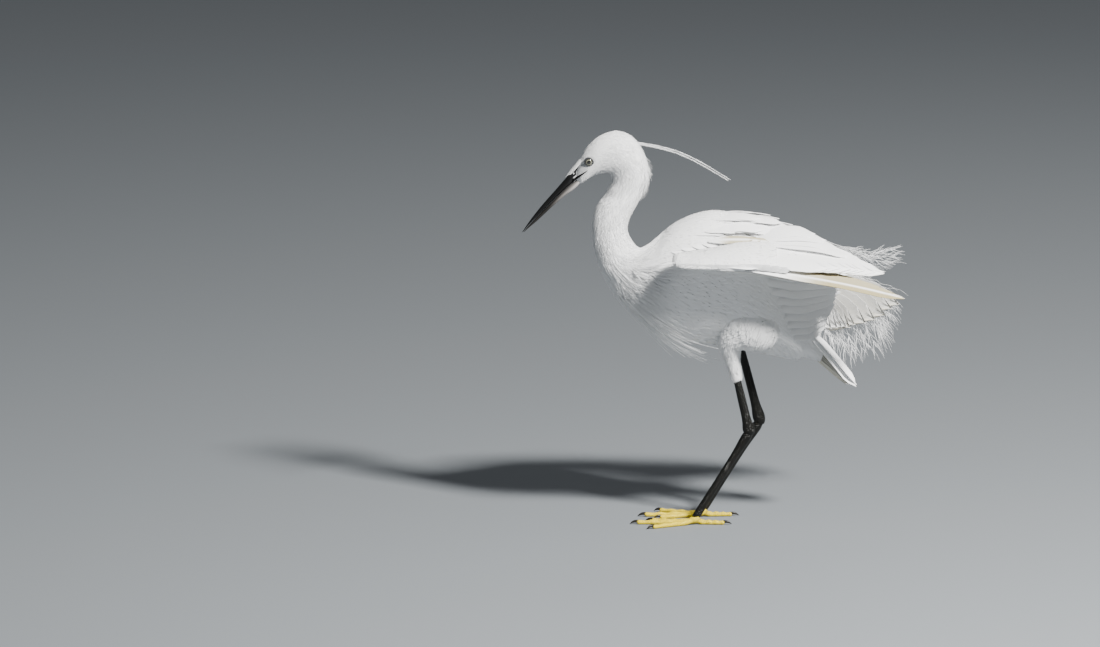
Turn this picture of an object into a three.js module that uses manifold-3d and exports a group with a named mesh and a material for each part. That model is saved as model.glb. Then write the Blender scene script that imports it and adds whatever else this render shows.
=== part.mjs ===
// Little egret in breeding plumage, life size, standing with its near wing lifted and its far wing drooped.
// Millimetres, +Z up. The bird looks along -X and its left side is -Y. Z = 0 is the floor under its toes.
import * as THREE from "three";
import { mergeVertices } from "three/addons/utils/BufferGeometryUtils.js";
import Module from "manifold-3d";

const wasm = await Module();
wasm.setup();

// Clearances and thin sizes
const GAP = 0.35; // free space left where two nodes meet
const VANE_EDGE = 0.6; // thickness of a feather at its tip
const VANE_SHAFT = 1.1; // thickness of a feather at its root
const FLOOR = 0;

// Driving sizes of the bird
const EYE_RADIUS = 5.1;
const EYE = [-125.2, 9.6, 366];
const TARSUS_RADIUS = 3.5;
const TIBIA_RADIUS = 4.1;
const TOE_RADIUS = 3.1;
const TOE_HEIGHT = 2.15; // of a toe's centre line above the floor
const TAIL_FEATHERS = 10;
const PRIMARIES = 7;
const SECONDARIES = 8;
const TERTIALS = 3;
const COVERTS = 5; // in the longest tier of a wing

// Places of the legs: [x, y, z] of the ankle and of the joint where the toes meet
const LEFT_ANKLE = [35.5, -18, 93.6];
const RIGHT_ANKLE = [46.5, 20, 98];
const LEFT_FOOT = [-19, -20, 6.2];
const RIGHT_FOOT = [-11, 21, 6.2];

// Colours and finish
const finish = (color, roughness) => new THREE.MeshStandardMaterial({ color, roughness, metalness: 0 });
const WHITE_PLUMAGE = finish(0xf2f1ee, 0.85);
const BLACK_HORN = finish(0x14130f, 0.4);
const GREY_HORN = finish(0x3a3835, 0.45);
const BLACK_SCALES = finish(0x15140f, 0.5);
const YELLOW_SCALES = finish(0xc9a511, 0.5);
const EYE_GLOSS = finish(0x8f8a62, 0.08);

const V = (x, y, z) => new THREE.Vector3(x, y, z);
const at = (p) => V(p[0], p[1], p[2]);
const mix = (a, b, t) => a + (b - a) * t;

// A small seeded generator, so that the plumage is the same each time.
let seed = 7;
function random() {
  seed = (seed * 16807) % 2147483647;
  return seed / 2147483647;
}
const jitter = (size) => (random() * 2 - 1) * size;

// Solids

// A closed triangle mesh as a solid with its faces out.
function solid(positions, triangles) {
  const bare = new THREE.BufferGeometry();
  bare.setAttribute("position", new THREE.BufferAttribute(new Float32Array(positions), 3));
  bare.setIndex(triangles);
  return solidOf(bare);
}

function solidOf(geometry) {
  const bare = geometry.clone();
  bare.deleteAttribute("normal");
  bare.deleteAttribute("uv");
  const merged = mergeVertices(bare, 1e-4);
  const make = (triVerts) =>
    new wasm.Manifold(
      new wasm.Mesh({ numProp: 3, vertProperties: new Float32Array(merged.attributes.position.array), triVerts }),
    );
  const triVerts = new Uint32Array(merged.index.array);
  const made = make(triVerts);
  if (made.volume() >= 0) return made;
  for (let i = 0; i < triVerts.length; i += 3) {
    [triVerts[i + 1], triVerts[i + 2]] = [triVerts[i + 2], triVerts[i + 1]];
  }
  return make(triVerts);
}

// The one largest closed surface: a sealed hollow is filled and a loose scrap is dropped.
function largest(made) {
  const bodies = made.decompose().sort((a, b) => b.volume() - a.volume());
  return bodies[0];
}

const join = (pieces) => wasm.Manifold.union(pieces);

// A body through rings of equal count, with a pointed fan at each end.
function skinOver(rings) {
  const count = rings[0].length;
  const positions = [];
  const triangles = [];
  rings.forEach((ring) => ring.forEach((p) => positions.push(p.x, p.y, p.z)));
  for (let i = 0; i + 1 < rings.length; i++) {
    for (let j = 0; j < count; j++) {
      const a = i * count + j;
      const b = i * count + ((j + 1) % count);
      triangles.push(a, b, b + count, a, b + count, a + count);
    }
  }
  const cap = (ring, first, turned) => {
    const centre = ring.reduce((sum, p) => sum.add(p), V(0, 0, 0)).divideScalar(count);
    const middle = positions.length / 3;
    positions.push(centre.x, centre.y, centre.z);
    for (let j = 0; j < count; j++) {
      const a = first + j;
      const b = first + ((j + 1) % count);
      triangles.push(...(turned ? [middle, b, a] : [middle, a, b]));
    }
  };
  cap(rings[0], 0, true);
  cap(rings.at(-1), (rings.length - 1) * count, false);
  return solid(positions, triangles);
}

// A closed sheet between two grids of points that are split into triangles alike.
function sheet(top, bottom) {
  const rows = top.length;
  const columns = top[0].length;
  const positions = [];
  [top, bottom].forEach((grid) => grid.forEach((row) => row.forEach((p) => positions.push(p.x, p.y, p.z))));
  const T = (i, j) => i * columns + j;
  const B = (i, j) => rows * columns + i * columns + j;
  const triangles = [];
  for (let i = 0; i + 1 < rows; i++) {
    for (let j = 0; j + 1 < columns; j++) {
      triangles.push(T(i, j), T(i + 1, j), T(i + 1, j + 1), T(i, j), T(i + 1, j + 1), T(i, j + 1));
      triangles.push(B(i, j), B(i + 1, j + 1), B(i + 1, j), B(i, j), B(i, j + 1), B(i + 1, j + 1));
    }
    const m = columns - 1;
    triangles.push(T(i + 1, 0), T(i, 0), B(i, 0), T(i + 1, 0), B(i, 0), B(i + 1, 0));
    triangles.push(T(i, m), T(i + 1, m), B(i + 1, m), T(i, m), B(i + 1, m), B(i, m));
  }
  for (let j = 0; j + 1 < columns; j++) {
    const n = rows - 1;
    triangles.push(T(0, j), T(0, j + 1), B(0, j + 1), T(0, j), B(0, j + 1), B(0, j));
    triangles.push(T(n, j + 1), T(n, j), B(n, j), T(n, j + 1), B(n, j), B(n, j + 1));
  }
  return solid(positions, triangles);
}

// Values between stations, smooth through each of them.
function smooth(stations, t) {
  const n = stations.length - 1;
  const f = Math.min(Math.max(t, 0), 1) * n;
  const i = Math.min(Math.floor(f), n - 1);
  const u = f - i;
  const [p0, p1, p2, p3] = [i - 1, i, i + 1, i + 2].map((k) => stations[Math.min(Math.max(k, 0), n)]);
  return p1.map(
    (b, k) =>
      b +
      0.5 * u * (p2[k] - p0[k] + u * (2 * p0[k] - 5 * b + 4 * p2[k] - p3[k] + u * (3 * (b - p2[k]) + p3[k] - p0[k]))),
  );
}

// Feathered body

// The bird's profile from bill to tail: [back x, back z, front x, front z, half width] of each section.
const PROFILE = [
  [-137.5, 360.5, -137.5, 341, 5.5],
  [-133.5, 369, -134, 342, 9.5],
  [-126, 380.5, -128, 345.5, 13],
  [-114, 390.8, -122, 349.5, 15.3],
  [-99, 395.4, -116, 352, 16.4],
  [-83, 390.5, -110, 353.4, 16.4],
  [-71.5, 376, -105.5, 353.6, 15.4],
  [-66.2, 359, -102, 350.5, 14.4],
  [-66, 346, -101.5, 343.5, 14],
  [-73, 329, -107.5, 333, 14],
  [-80, 316.7, -116, 321.5, 14.3],
  [-85, 306.5, -120.7, 309, 14.6],
  [-86.8, 295.4, -122, 295, 15.2],
  [-82.5, 284.5, -120.3, 278, 17.5],
  [-74, 276.3, -115, 260, 22],
  [-64.5, 280, -106.5, 243, 28],
  [-55, 288.5, -94, 227, 35],
  [-40, 302, -76, 212.5, 42],
  [-19, 312, -51, 194, 47.5],
  [3, 315.5, -22, 181.5, 49.5],
  [25, 310, 6, 178, 48.5],
  [47, 294, 32, 173.5, 44.5],
  [66, 266, 55, 169, 38],
  [80, 237, 71, 165.5, 31],
  [92, 212, 82, 163, 24],
  [101, 196, 92, 160.5, 18],
  [110, 181, 103, 155.5, 13],
  [119, 166, 114, 149, 9],
  [126, 154, 123, 144.5, 4.5],
];
const LAST = PROFILE.length - 1;
const TAIL_BASE = 24.6; // section where the rump ends and the tail's coverts begin
const BODY_SIDES = 16;
const NECK_TOP = 7.4; // sections where the head, the neck's two lengths and the torso part
const NECK_MIDDLE = 11.5;
const NECK_BASE = 15.6;
const MANTLE_LEVEL = 248; // of the slanted cut that parts the upper back from the torso

// The point of the body's surface at section s and angle a: 0 is the back, a quarter turn is the right side.
function bodyPoint(s, a, out = 0) {
  const [bx, bz, fx, fz, half] = smooth(PROFILE, s / LAST);
  const up = V(bx - fx, 0, bz - fz);
  const reach = up.length() / 2 + out;
  up.normalize();
  return V((bx + fx) / 2, 0, (bz + fz) / 2)
    .addScaledVector(up, Math.cos(a) * reach)
    .add(V(0, Math.sin(a) * (half + out), 0));
}

// The way out of the body's surface there.
function bodyNormal(s, a) {
  const step = 0.05;
  const along = bodyPoint(s + step, a).sub(bodyPoint(s - step, a));
  const round = bodyPoint(s, a + step).sub(bodyPoint(s, a - step));
  const out = along.cross(round).normalize();
  const centre = bodyPoint(s, 0).add(bodyPoint(s, Math.PI)).divideScalar(2);
  return out.dot(bodyPoint(s, a).sub(centre)) < 0 ? out.negate() : out;
}

// The body between two sections. grow is the clearance that a neighbour keeps from it.
function bodyLength(from, to, rings, grow = 0) {
  const made = [];
  for (let i = 0; i <= rings; i++) {
    const s = mix(from, to, i / rings);
    const ring = [];
    for (let j = 0; j < BODY_SIDES; j++) ring.push(bodyPoint(s, (j / BODY_SIDES) * 2 * Math.PI, grow));
    made.push(ring);
  }
  return skinOver(made);
}

// Where two lengths of the body part, the far one starts this much later.
function sectionStep(s) {
  const middle = (section) => bodyPoint(section, 0).lerp(bodyPoint(section, Math.PI), 0.5);
  return GAP / middle(s).distanceTo(middle(s + 1));
}

// A round limb through stations of [x, y, z, half width across, half width along the hint].
function limb(stations, sides, rings, hint, grow = 0) {
  const made = [];
  for (let i = 0; i <= rings; i++) {
    const t = i / rings;
    const here = smooth(stations, t);
    const before = at(smooth(stations, t - 0.01));
    const tangent = at(smooth(stations, t + 0.01)).sub(before).normalize();
    const across = V().crossVectors(tangent, hint).normalize();
    const up = V().crossVectors(across, tangent).normalize();
    const ends = i === 0 ? -grow : i === rings ? grow : 0;
    const centre = at(here).addScaledVector(tangent, ends);
    const ring = [];
    for (let j = 0; j < sides; j++) {
      const a = (j / sides) * 2 * Math.PI;
      ring.push(
        centre
          .clone()
          .addScaledVector(across, Math.cos(a) * (here[3] + grow))
          .addScaledVector(up, Math.sin(a) * (here[4] + grow)),
      );
    }
    made.push(ring);
  }
  return skinOver(made);
}

// A ball stretched by three radii.
function ball(centre, radii, across = 12, down = 8) {
  const g = new THREE.SphereGeometry(1, across, down);
  g.scale(radii[0], radii[1], radii[2]);
  g.translate(centre.x, centre.y, centre.z);
  return solidOf(g);
}

// Feathers

// Shares of the length and of the width where a feather's outline turns.
const FLIGHT = [[0, 0.26], [0.4, 0.9], [0.86, 0.94], [1, 0.24]];
const COVERT = [[0, 0.4], [0.66, 1], [1, 0.34]];
const RECTRIX = [[0, 0.3], [0.85, 1], [1, 0.4]];

// One feather from its root to its tip. normal is its outer face; bow lifts its middle that way, sweep bends
// it sideways, and tilt raises one edge as a roof tile's.
function vane({ root, tip, normal, width, outline = FLIGHT, bow = 0, sweep = 0, tilt = 0 }, grow = 0) {
  const chord = tip.clone().sub(root);
  const side = V().crossVectors(chord, normal).normalize();
  const out = V().crossVectors(side, chord).normalize();
  const line = (t) =>
    root
      .clone()
      .addScaledVector(chord, t)
      .addScaledVector(out, bow * 4 * t * (1 - t))
      .addScaledVector(side, sweep * 4 * t * (1 - t));
  const top = [];
  const bottom = [];
  for (const [t, share] of outline) {
    const half = (width * share) / 2 + grow;
    const tangent = line(t + 0.01).sub(line(t - 0.01)).normalize();
    const across = V().crossVectors(tangent, out).normalize().applyAxisAngle(tangent, -tilt);
    const up = V().crossVectors(across, tangent).normalize();
    const ends = t === 0 ? -grow : t === 1 ? grow : 0;
    const centre = line(t).addScaledVector(tangent, ends);
    const depth = mix(VANE_SHAFT, VANE_EDGE, t) * 0.5 + grow;
    const row = (level) =>
      [-1, 1].map((k) => centre.clone().addScaledVector(across, k * half).addScaledVector(up, level * depth));
    top.push(row(1));
    bottom.push(row(-1));
  }
  return sheet(top, bottom);
}

// A long thin strand along a curve, flat across the way given by normal.
function strand(path, { width, normal, steps, taper = 0.3 }, grow = 0) {
  const top = [];
  const bottom = [];
  for (let i = 0; i <= steps; i++) {
    const t = i / steps;
    const tangent = path.getTangent(t);
    const across = V().crossVectors(tangent, normal).normalize();
    const up = V().crossVectors(across, tangent).normalize();
    const half = (width / 2) * mix(1, taper, t) + grow;
    const depth = mix(VANE_SHAFT, VANE_EDGE, t) * 0.5 + grow;
    const ends = i === 0 ? -grow : i === steps ? grow : 0;
    const centre = path.getPoint(t).addScaledVector(tangent, ends);
    const row = (level) =>
      [-1, 1].map((k) => centre.clone().addScaledVector(across, k * half).addScaledVector(up, level * depth));
    top.push(row(1));
    bottom.push(row(-1));
  }
  return sheet(top, bottom);
}

// A filmy plume: a shaft with a pair of loose barbs at each of its stations from the first given one.
function plume(path, { normal, firstBarb, barbLength, width = 2.4, steps }, grow = 0) {
  const pieces = [strand(path, { width, normal, steps }, grow)];
  for (let station = firstBarb; station < steps; station++) {
    const t = station / steps;
    const tangent = path.getTangent(t);
    const across = V().crossVectors(tangent, normal).normalize();
    for (const side of [-1, 1]) {
      const length = barbLength * mix(1, 0.6, t) * (1 + jitter(0.12));
      const root = path.getPoint(t);
      const tip = root
        .clone()
        .addScaledVector(tangent, length * 0.82)
        .addScaledVector(across, side * length * 0.5)
        .addScaledVector(normal, jitter(1.5));
      pieces.push(strand(new THREE.LineCurve3(root, tip), { width: 1.6, normal, steps: 1, taper: 0.4 }, grow));
    }
  }
  return pieces;
}

// A curve through hand-picked places.
const through = (...places) => new THREE.CatmullRomCurve3(places.map(at), false, "centripetal");

// A thick sheet between two curves, crowned by a camber and thinner towards its edges.
function panel(outer, inner, { rows, columns, thick, camber, up }, grow = 0) {
  const top = [];
  const bottom = [];
  for (let i = 0; i <= rows; i++) {
    const u = i / rows;
    const a = outer.getPoint(u);
    const b = inner.getPoint(u);
    const along = outer.getTangent(u).add(inner.getTangent(u)).normalize();
    const across = b.clone().sub(a).normalize();
    const out = V().crossVectors(along, across).normalize();
    if (out.dot(up) < 0) out.negate();
    const lengthwise = 0.45 + 0.55 * Math.sin(Math.PI * mix(0.12, 0.88, u));
    const rowOf = (level) => {
      const row = [];
      for (let j = 0; j <= columns; j++) {
        const v = j / columns;
        const arch = 4 * v * (1 - v);
        const depth = thick * 0.5 * lengthwise * (0.35 + 0.65 * arch) + grow;
        const reach = v === 0 ? -grow : v === 1 ? grow : 0;
        row.push(
          a
            .clone()
            .lerp(b, v)
            .addScaledVector(out, camber * arch + level * depth)
            .addScaledVector(across, reach),
        );
      }
      return row;
    };
    top.push(rowOf(1));
    bottom.push(rowOf(-1));
  }
  return sheet(top, bottom);
}

// Wings

// Every size of a wing. Curves run from the front of the wing to its rear.
const NEAR_WING = {
  side: -1,
  up: V(0, -0.3, 0.95),
  shoulder: [-26, -30, 262],
  elbow: [46, -48, 283],
  wrist: [-31, -85, 276],
  hand: [28, -96, 273],
  outer: through([-38, -80, 275], [-26, -92, 274], [0, -98, 274], [30, -99, 273], [62, -97, 270]),
  inner: through([-36, -60, 274], [-20, -53, 278], [2, -50, 283], [28, -46, 289], [60, -38, 291]),
  primaryRoots: through([-8, -88, 271], [12, -92, 270], [36, -96, 269]),
  primaryTips: through([150, -72, 255], [172, -80, 249], [189, -88, 243]),
  primaryNormal: V(0.1, -0.45, 0.89),
  secondaryRoots: through([44, -50, 285], [8, -70, 280], [-18, -82, 276]),
  secondaryTips: through([149, -45, 267], [174, -64, 253], [162, -77, 255], [126, -88, 264]),
  secondaryNormal: V(0.2, -0.42, 0.88),
  tertialRoots: through([42, -34, 290], [44, -48, 286]),
  tertialTips: through([100, -13, 292], [120, -25, 282], [138, -38, 272.5]),
  tertialNormal: V(0.15, -0.25, 0.96),
  primaryRise: 2.5,
  alula: [[-20, -90, 276], [42, -100, 273.5]],
  widths: { primary: 18, secondary: 28, tertial: 27 },
  tilt: 0.16,
  bow: 5,
};
const FAR_WING = {
  side: 1,
  up: V(0, 0.75, 0.6),
  shoulder: [-26, 30, 256],
  elbow: [46, 50, 277],
  wrist: [-30, 75, 261],
  hand: [28, 86, 252],
  outer: through([-36, 72, 261], [-24, 82, 258], [2, 87, 255], [32, 88, 252], [62, 87, 246]),
  inner: through([-34, 58, 268], [-20, 53, 273], [2, 49, 278], [28, 46, 281], [60, 44, 276]),
  primaryRoots: through([0, 82, 255], [14, 84, 253], [36, 86, 250]),
  primaryTips: through([138, 66, 186], [166, 77, 192], [188, 85, 206]),
  primaryNormal: V(0, 0.95, 0.3),
  secondaryRoots: through([46, 50, 273], [20, 64, 267], [-10, 78, 258]),
  secondaryTips: through([97, 46, 189], [113, 52, 186], [134, 63, 186]),
  secondaryNormal: V(0, 0.92, 0.38),
  tertialRoots: through([46, 42, 278], [46, 49, 275]),
  tertialTips: through([122, 44, 244], [106, 50, 212]),
  tertialNormal: V(0.2, 0.85, 0.5),
  primaryRise: -1,
  alula: [[-18, 84, 257], [40, 90, 250]],
  widths: { primary: 23, secondary: 26, tertial: 25 },
  tilt: 0.1,
  bow: 6,
};
const PANEL = { rows: 5, columns: 4, thick: 8, camber: 3 };

function wing(w, grow = 0) {
  const pieces = [];
  const tilt = -w.side * w.tilt;
  const feather = (spec) => pieces.push(vane(spec, grow));
  const tube = (from, to, radiusA, radiusB) =>
    pieces.push(limb([[...from, radiusA, radiusA], [...to, radiusB, radiusB]], 8, 1, V(0, 0, 1), grow));
  tube(w.shoulder, w.elbow, 8, 6);
  tube(w.elbow, w.wrist, 6, 5);
  tube(w.wrist, w.hand, 5.5, 3);
  pieces.push(ball(at(w.wrist), [8 + grow, 7 + grow, 6.5 + grow], 10, 6));
  pieces.push(panel(w.outer, w.inner, { ...PANEL, up: w.up }, grow));

  // One row of feathers, the first of them innermost.
  const row = (count, roots, tips, spec) => {
    for (let i = 0; i < count; i++) {
      const t = i / (count - 1);
      const { lift = 0, rootLift = 0, width } = spec;
      feather({
        ...spec,
        root: roots(t).addScaledVector(spec.normal, rootLift),
        tip: tips(t).addScaledVector(spec.normal, lift),
        width: width * mix(1.05, 0.85, t) * (1 + jitter(0.04)),
        tilt,
      });
    }
  };
  const onPanel = (u, v) => w.outer.getPoint(u).lerp(w.inner.getPoint(u), v);

  row(PRIMARIES, (t) => w.primaryRoots.getPoint(t), (t) => w.primaryTips.getPoint(t), {
    normal: w.primaryNormal,
    width: w.widths.primary,
    bow: w.bow * 0.8,
    lift: -2,
    rootLift: w.primaryRise,
  });
  row(SECONDARIES, (t) => w.secondaryRoots.getPoint(t), (t) => w.secondaryTips.getPoint(t), {
    normal: w.secondaryNormal,
    width: w.widths.secondary,
    bow: w.bow,
    lift: 1,
    rootLift: 1,
    sweep: -2 * w.side,
  });
  row(TERTIALS, (t) => w.tertialRoots.getPoint(t), (t) => w.tertialTips.getPoint(t), {
    normal: w.tertialNormal,
    width: w.widths.tertial,
    bow: w.bow + 1,
    lift: 2,
    rootLift: 3,
  });
  // Greater coverts reach halfway down the secondaries, and the tiers before them lie on the panel.
  const greaterTip = (t) => w.secondaryRoots.getPoint(t).lerp(w.secondaryTips.getPoint(t), 0.5);
  row(COVERTS, (t) => w.secondaryRoots.getPoint(t), greaterTip, {
    normal: w.secondaryNormal,
    width: w.widths.secondary * 0.8,
    outline: COVERT,
    lift: w.bow + 3.2,
    rootLift: 3,
  });
  const tier = (from, share, count, lift) => {
    const roots = (t) => onPanel(from + 0.08 * t, mix(0.9, 0.22, t));
    const rearward = (t) => onPanel(1, mix(0.94, 0.16, t)).sub(onPanel(0, 0.5));
    const tips = (t) => roots(t).addScaledVector(rearward(t), share);
    row(count, roots, tips, { normal: w.up, width: 15, outline: COVERT, lift, rootLift: 3.4 });
  };
  tier(0.5, 0.42, COVERTS - 1, 6.4);
  tier(0.16, 0.36, COVERTS - 2, 6.6);
  feather({
    root: at(w.alula[0]),
    tip: at(w.alula[1]),
    normal: w.up,
    width: 10,
    bow: 1.5,
    outline: COVERT,
  });
  return join(pieces);
}

// Scapulars and plumes of the back

const MANTLE_FRONT = NECK_BASE + 0.6;
const MANTLE_REAR = 22.4;
const SCAPULARS = 3; // in each row of a side
const FRINGE_PLUMES = 5; // that hang over the far wing
const FRINGE_TIPS = through(
  [104, 62, 182],
  [125, 72, 162],
  [146, 82, 153],
  [165, 88, 161],
  [181, 92, 181],
  [190.9, 94, 203],
);
const UPSWEPT_PLUMES = [
  [[14, 0, 299], [66, 6, 300], [118, 5, 281], [150, 3, 272], [184.5, 4, 275]],
  [[12, 4, 299], [60, 10, 299], [112, 9, 280], [148, 7, 266], [183, 2, 262]],
  [[10, 8, 298], [54, 15, 299], [104, 15, 282], [142, 13, 262], [174, 9, 254]],
];

// The upper back, parted from the torso by a slanted cut.
function mantleCore(grow = 0) {
  return bodyLength(MANTLE_FRONT, MANTLE_REAR, 9, grow).trimByPlane([0.42, 0, 0.907], MANTLE_LEVEL + GAP - grow);
}

function mantle(grow = 0) {
  const pieces = [mantleCore(grow)];
  for (const side of [-1, 1]) {
    for (let i = 0; i < SCAPULARS; i++) {
      const t = i / (SCAPULARS - 1);
      const root = bodyPoint(mix(17.6, 20.2, t), side * mix(0.72, 0.6, t), -2.5);
      const tip = root.clone().add(V(mix(44, 50, t), side * mix(10, 5, t), mix(13, 6, t)));
      pieces.push(vane({ root, tip, normal: V(-0.1, side * 0.5, 0.86), width: 19, outline: COVERT, bow: 3,
        tilt: -side * 0.12 }, grow));
    }
    for (let i = 0; i < SCAPULARS; i++) {
      const t = i / (SCAPULARS - 1);
      const root = bodyPoint(mix(18.2, 20.6, t), side * mix(0.42, 0.2, t), -2.5);
      const tip = root.clone().add(V(mix(44, 46, t), side * mix(9, 3, t), mix(3, 1, t)));
      pieces.push(vane({ root, tip, normal: V(0, side * 0.3, 0.95), width: 18, outline: COVERT, bow: 2,
        tilt: -side * 0.12 }, grow));
    }
  }
  for (const places of UPSWEPT_PLUMES) {
    const normal = V(0.1, 1, 0.1).normalize();
    pieces.push(...plume(through(...places), { normal, firstBarb: 4, barbLength: 20, steps: 6 }, grow));
  }
  for (let i = 0; i < FRINGE_PLUMES; i++) {
    const t = i / (FRINGE_PLUMES - 1);
    const tip = FRINGE_TIPS.getPoint(t);
    const path = new THREE.CatmullRomCurve3([
      V(mix(2, 26, t), mix(16, 21, t), 296),
      V(mix(34, 64, t), mix(45, 47, t), mix(302, 298, t)),
      V(mix(62, 112, t), mix(88, 98, t), mix(268, 258, t)),
      V(mix(86, 160, t), mix(90, 99.1, t), mix(222, 224, t)),
      tip,
    ]);
    pieces.push(...plume(path, { normal: V(0, 0.92, 0.38), firstBarb: 5, barbLength: 24, steps: 7 }, grow));
  }
  return join(pieces);
}

// Long pointed plumes of the lower neck, which hang over the breast and along the belly.
const BREAST_PLUMES = 5; // on each side

function neckLower() {
  const pieces = [bodyLength(NECK_MIDDLE + sectionStep(NECK_MIDDLE), NECK_BASE, 7)];
  for (const side of [-1, 1]) {
    for (let i = 0; i < BREAST_PLUMES; i++) {
      const t = i / (BREAST_PLUMES - 1);
      const a = Math.PI - side * mix(0.12, 1.15, t);
      const path = new THREE.CatmullRomCurve3([
        bodyPoint(mix(14.2, 14.8, t), a, -3),
        bodyPoint(15.6, a, 2.2),
        bodyPoint(17, a, 3),
        bodyPoint(mix(18.9, 17.9, t) + jitter(0.2), a, mix(9, 3.2, t)),
      ]);
      pieces.push(strand(path, { width: 7, normal: bodyNormal(17, a), steps: 3, taper: 0.15 }));
    }
  }
  return join(pieces);
}

// Tail

// The closed tail is slightly tented and rolled: its near edge is the upper one.
const TAIL_HALF_WIDTH = 21;
const TAIL_ROOT = V(86, 0, 197);
const TAIL_TIP = V(141, 0, 135.5);
const TAIL_UP = V(0.74, 0, 0.67);
const TAIL_ROLL = { root: [5, -15], tip: [5, -6] }; // off the middle plane at the near and far edges
const TAIL_TENT = 3;

function tail() {
  const pieces = [bodyLength(TAIL_BASE + sectionStep(TAIL_BASE), LAST, 4)];
  for (let i = 0; i < TAIL_FEATHERS; i++) {
    const t = i / (TAIL_FEATHERS - 1);
    const place = (share, at0) => {
      const off = mix(TAIL_ROLL[at0][0], TAIL_ROLL[at0][1], t) + TAIL_TENT * Math.sin(Math.PI * t);
      const base = at0 === "root" ? TAIL_ROOT : TAIL_TIP;
      return base.clone().add(V(0, mix(-1, 1, t) * share, 0)).addScaledVector(TAIL_UP, off);
    };
    const chord = TAIL_TIP.clone().sub(TAIL_ROOT).normalize();
    const root = place(TAIL_HALF_WIDTH * 0.3, "root");
    const tip = place(TAIL_HALF_WIDTH, "tip").addScaledVector(chord, -5 * Math.abs(2 * t - 1));
    const slope = (TAIL_ROLL.tip[1] - TAIL_ROLL.tip[0]) / (2 * TAIL_HALF_WIDTH) + 0.4 * Math.cos(Math.PI * t);
    const normal = TAIL_UP.clone().add(V(0, -slope, 0)).normalize();
    pieces.push(vane({ root, tip, normal, width: 14, outline: RECTRIX, bow: 1, tilt: t < 0.5 ? 0.24 : -0.24 }));
  }
  return join(pieces);
}

// Legs and feet

const SIDES = { left: -1, right: 1 };
const THIGHS = {
  left: [
    [42, -27, 214, 22, 33],
    [34, -30, 202, 20, 31],
    [22.5, -29, 193, 15, 21.5],
    [16.5, -27, 184, 11.2, 13.4],
    [17, -24, 172, 8.2, 8.8],
    [20, -22, 159, 5.9, 6.4],
    [23.2, -20.6, 146, 4.6, 4.8],
  ],
  right: [
    [42, 27, 214, 22, 33],
    [35, 29, 203, 19, 29],
    [28, 28, 192, 14, 18],
    [25, 26, 183, 10.4, 12],
    [26, 24, 176, 7.4, 8],
    [28, 22.8, 169, 5.4, 5.8],
  ],
};

function thigh(name, grow = 0) {
  return limb(THIGHS[name], 12, 8, V(1, 0, 0), grow);
}

// The bare shank starts inside the feathered thigh, and is cut clear of it later.
function tibia(name, grow = 0) {
  const top = THIGHS[name].at(-1);
  const ankle = name === "left" ? LEFT_ANKLE : RIGHT_ANKLE;
  const r = TIBIA_RADIUS;
  const toward = (t) => [0, 1, 2].map((k) => mix(top[k], ankle[k], t));
  const stations = [
    [...toward(-0.1), r * 0.8, r * 0.85],
    [...toward(0.3), r * 0.86, r],
    [...toward(0.72), r * 0.92, r * 1.1],
    [...toward(0.92), r * 1.25, r * 1.5],
    [...toward(1.0), r * 1.2, r * 1.35],
    [...toward(1.05), r * 0.8, r * 0.9],
  ];
  return limb(stations, 8, 7, V(1, 0, 0), grow);
}

function tarsus(name, grow = 0) {
  const ankle = name === "left" ? LEFT_ANKLE : RIGHT_ANKLE;
  const foot = name === "left" ? LEFT_FOOT : RIGHT_FOOT;
  const r = TARSUS_RADIUS;
  const toward = (t) => [0, 1, 2].map((k) => mix(ankle[k], foot[k], t));
  const stations = [
    [...toward(0.02), r * 1.3, r * 1.35],
    [...toward(0.1), r * 1.12, r * 1.4],
    [...toward(0.3), r * 0.88, r * 1.08],
    [...toward(0.7), r * 0.88, r * 1.05],
    [...toward(0.93), r * 1.05, r * 1.15],
    [...toward(0.985), r * 0.9, r * 1.0],
  ];
  return limb(stations, 8, 7, V(1, 0, 0), grow);
}

// Toes as [name, heading in degrees from straight ahead towards the outer side, length, thickness share].
const TOES = [
  ["inner", -17, 43, 0.92],
  ["middle", 0, 56, 1],
  ["outer", 30, 47, 0.94],
  ["hind", 176, 28, 0.96],
];
const CLAW_LENGTH = 9;
const TOE_JOINTS = 2; // pads along each toe

function toeWay(name, heading) {
  const turn = THREE.MathUtils.degToRad(heading);
  return V(-Math.cos(turn), Math.sin(turn) * SIDES[name], 0);
}

function foot(name, grow = 0) {
  const joint = at(name === "left" ? LEFT_FOOT : RIGHT_FOOT);
  const pieces = [ball(V(joint.x, joint.y, 4.6), [5.4 + grow, 4.8 + grow, 4.4 + grow], 8, 6)];
  for (const [, heading, length, share] of TOES) {
    const way = toeWay(name, heading);
    const stations = [];
    const steps = TOE_JOINTS * 2;
    for (let k = 0; k <= steps; k++) {
      const t = k / steps;
      const padded = k % 2 === 0 ? 1.06 : 0.86;
      const radius = TOE_RADIUS * share * mix(1, 0.74, t) * padded;
      const height = mix(4.2, TOE_HEIGHT * mix(1, 0.86, t), Math.min(1, t * 3));
      const p = joint.clone().addScaledVector(way, t * length);
      stations.push([p.x, p.y, height, radius, radius * 1.02]);
    }
    const end = joint.clone().addScaledVector(way, length + 1.6);
    stations.push([end.x, end.y, TOE_HEIGHT * 0.86, TOE_RADIUS * share * 0.5, TOE_RADIUS * share * 0.5]);
    pieces.push(limb(stations, 6, steps + 1, V(0, 0, 1), grow));
  }
  const whole = join(pieces);
  return grow ? whole : whole.trimByPlane([0, 0, 1], FLOOR);
}

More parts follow.
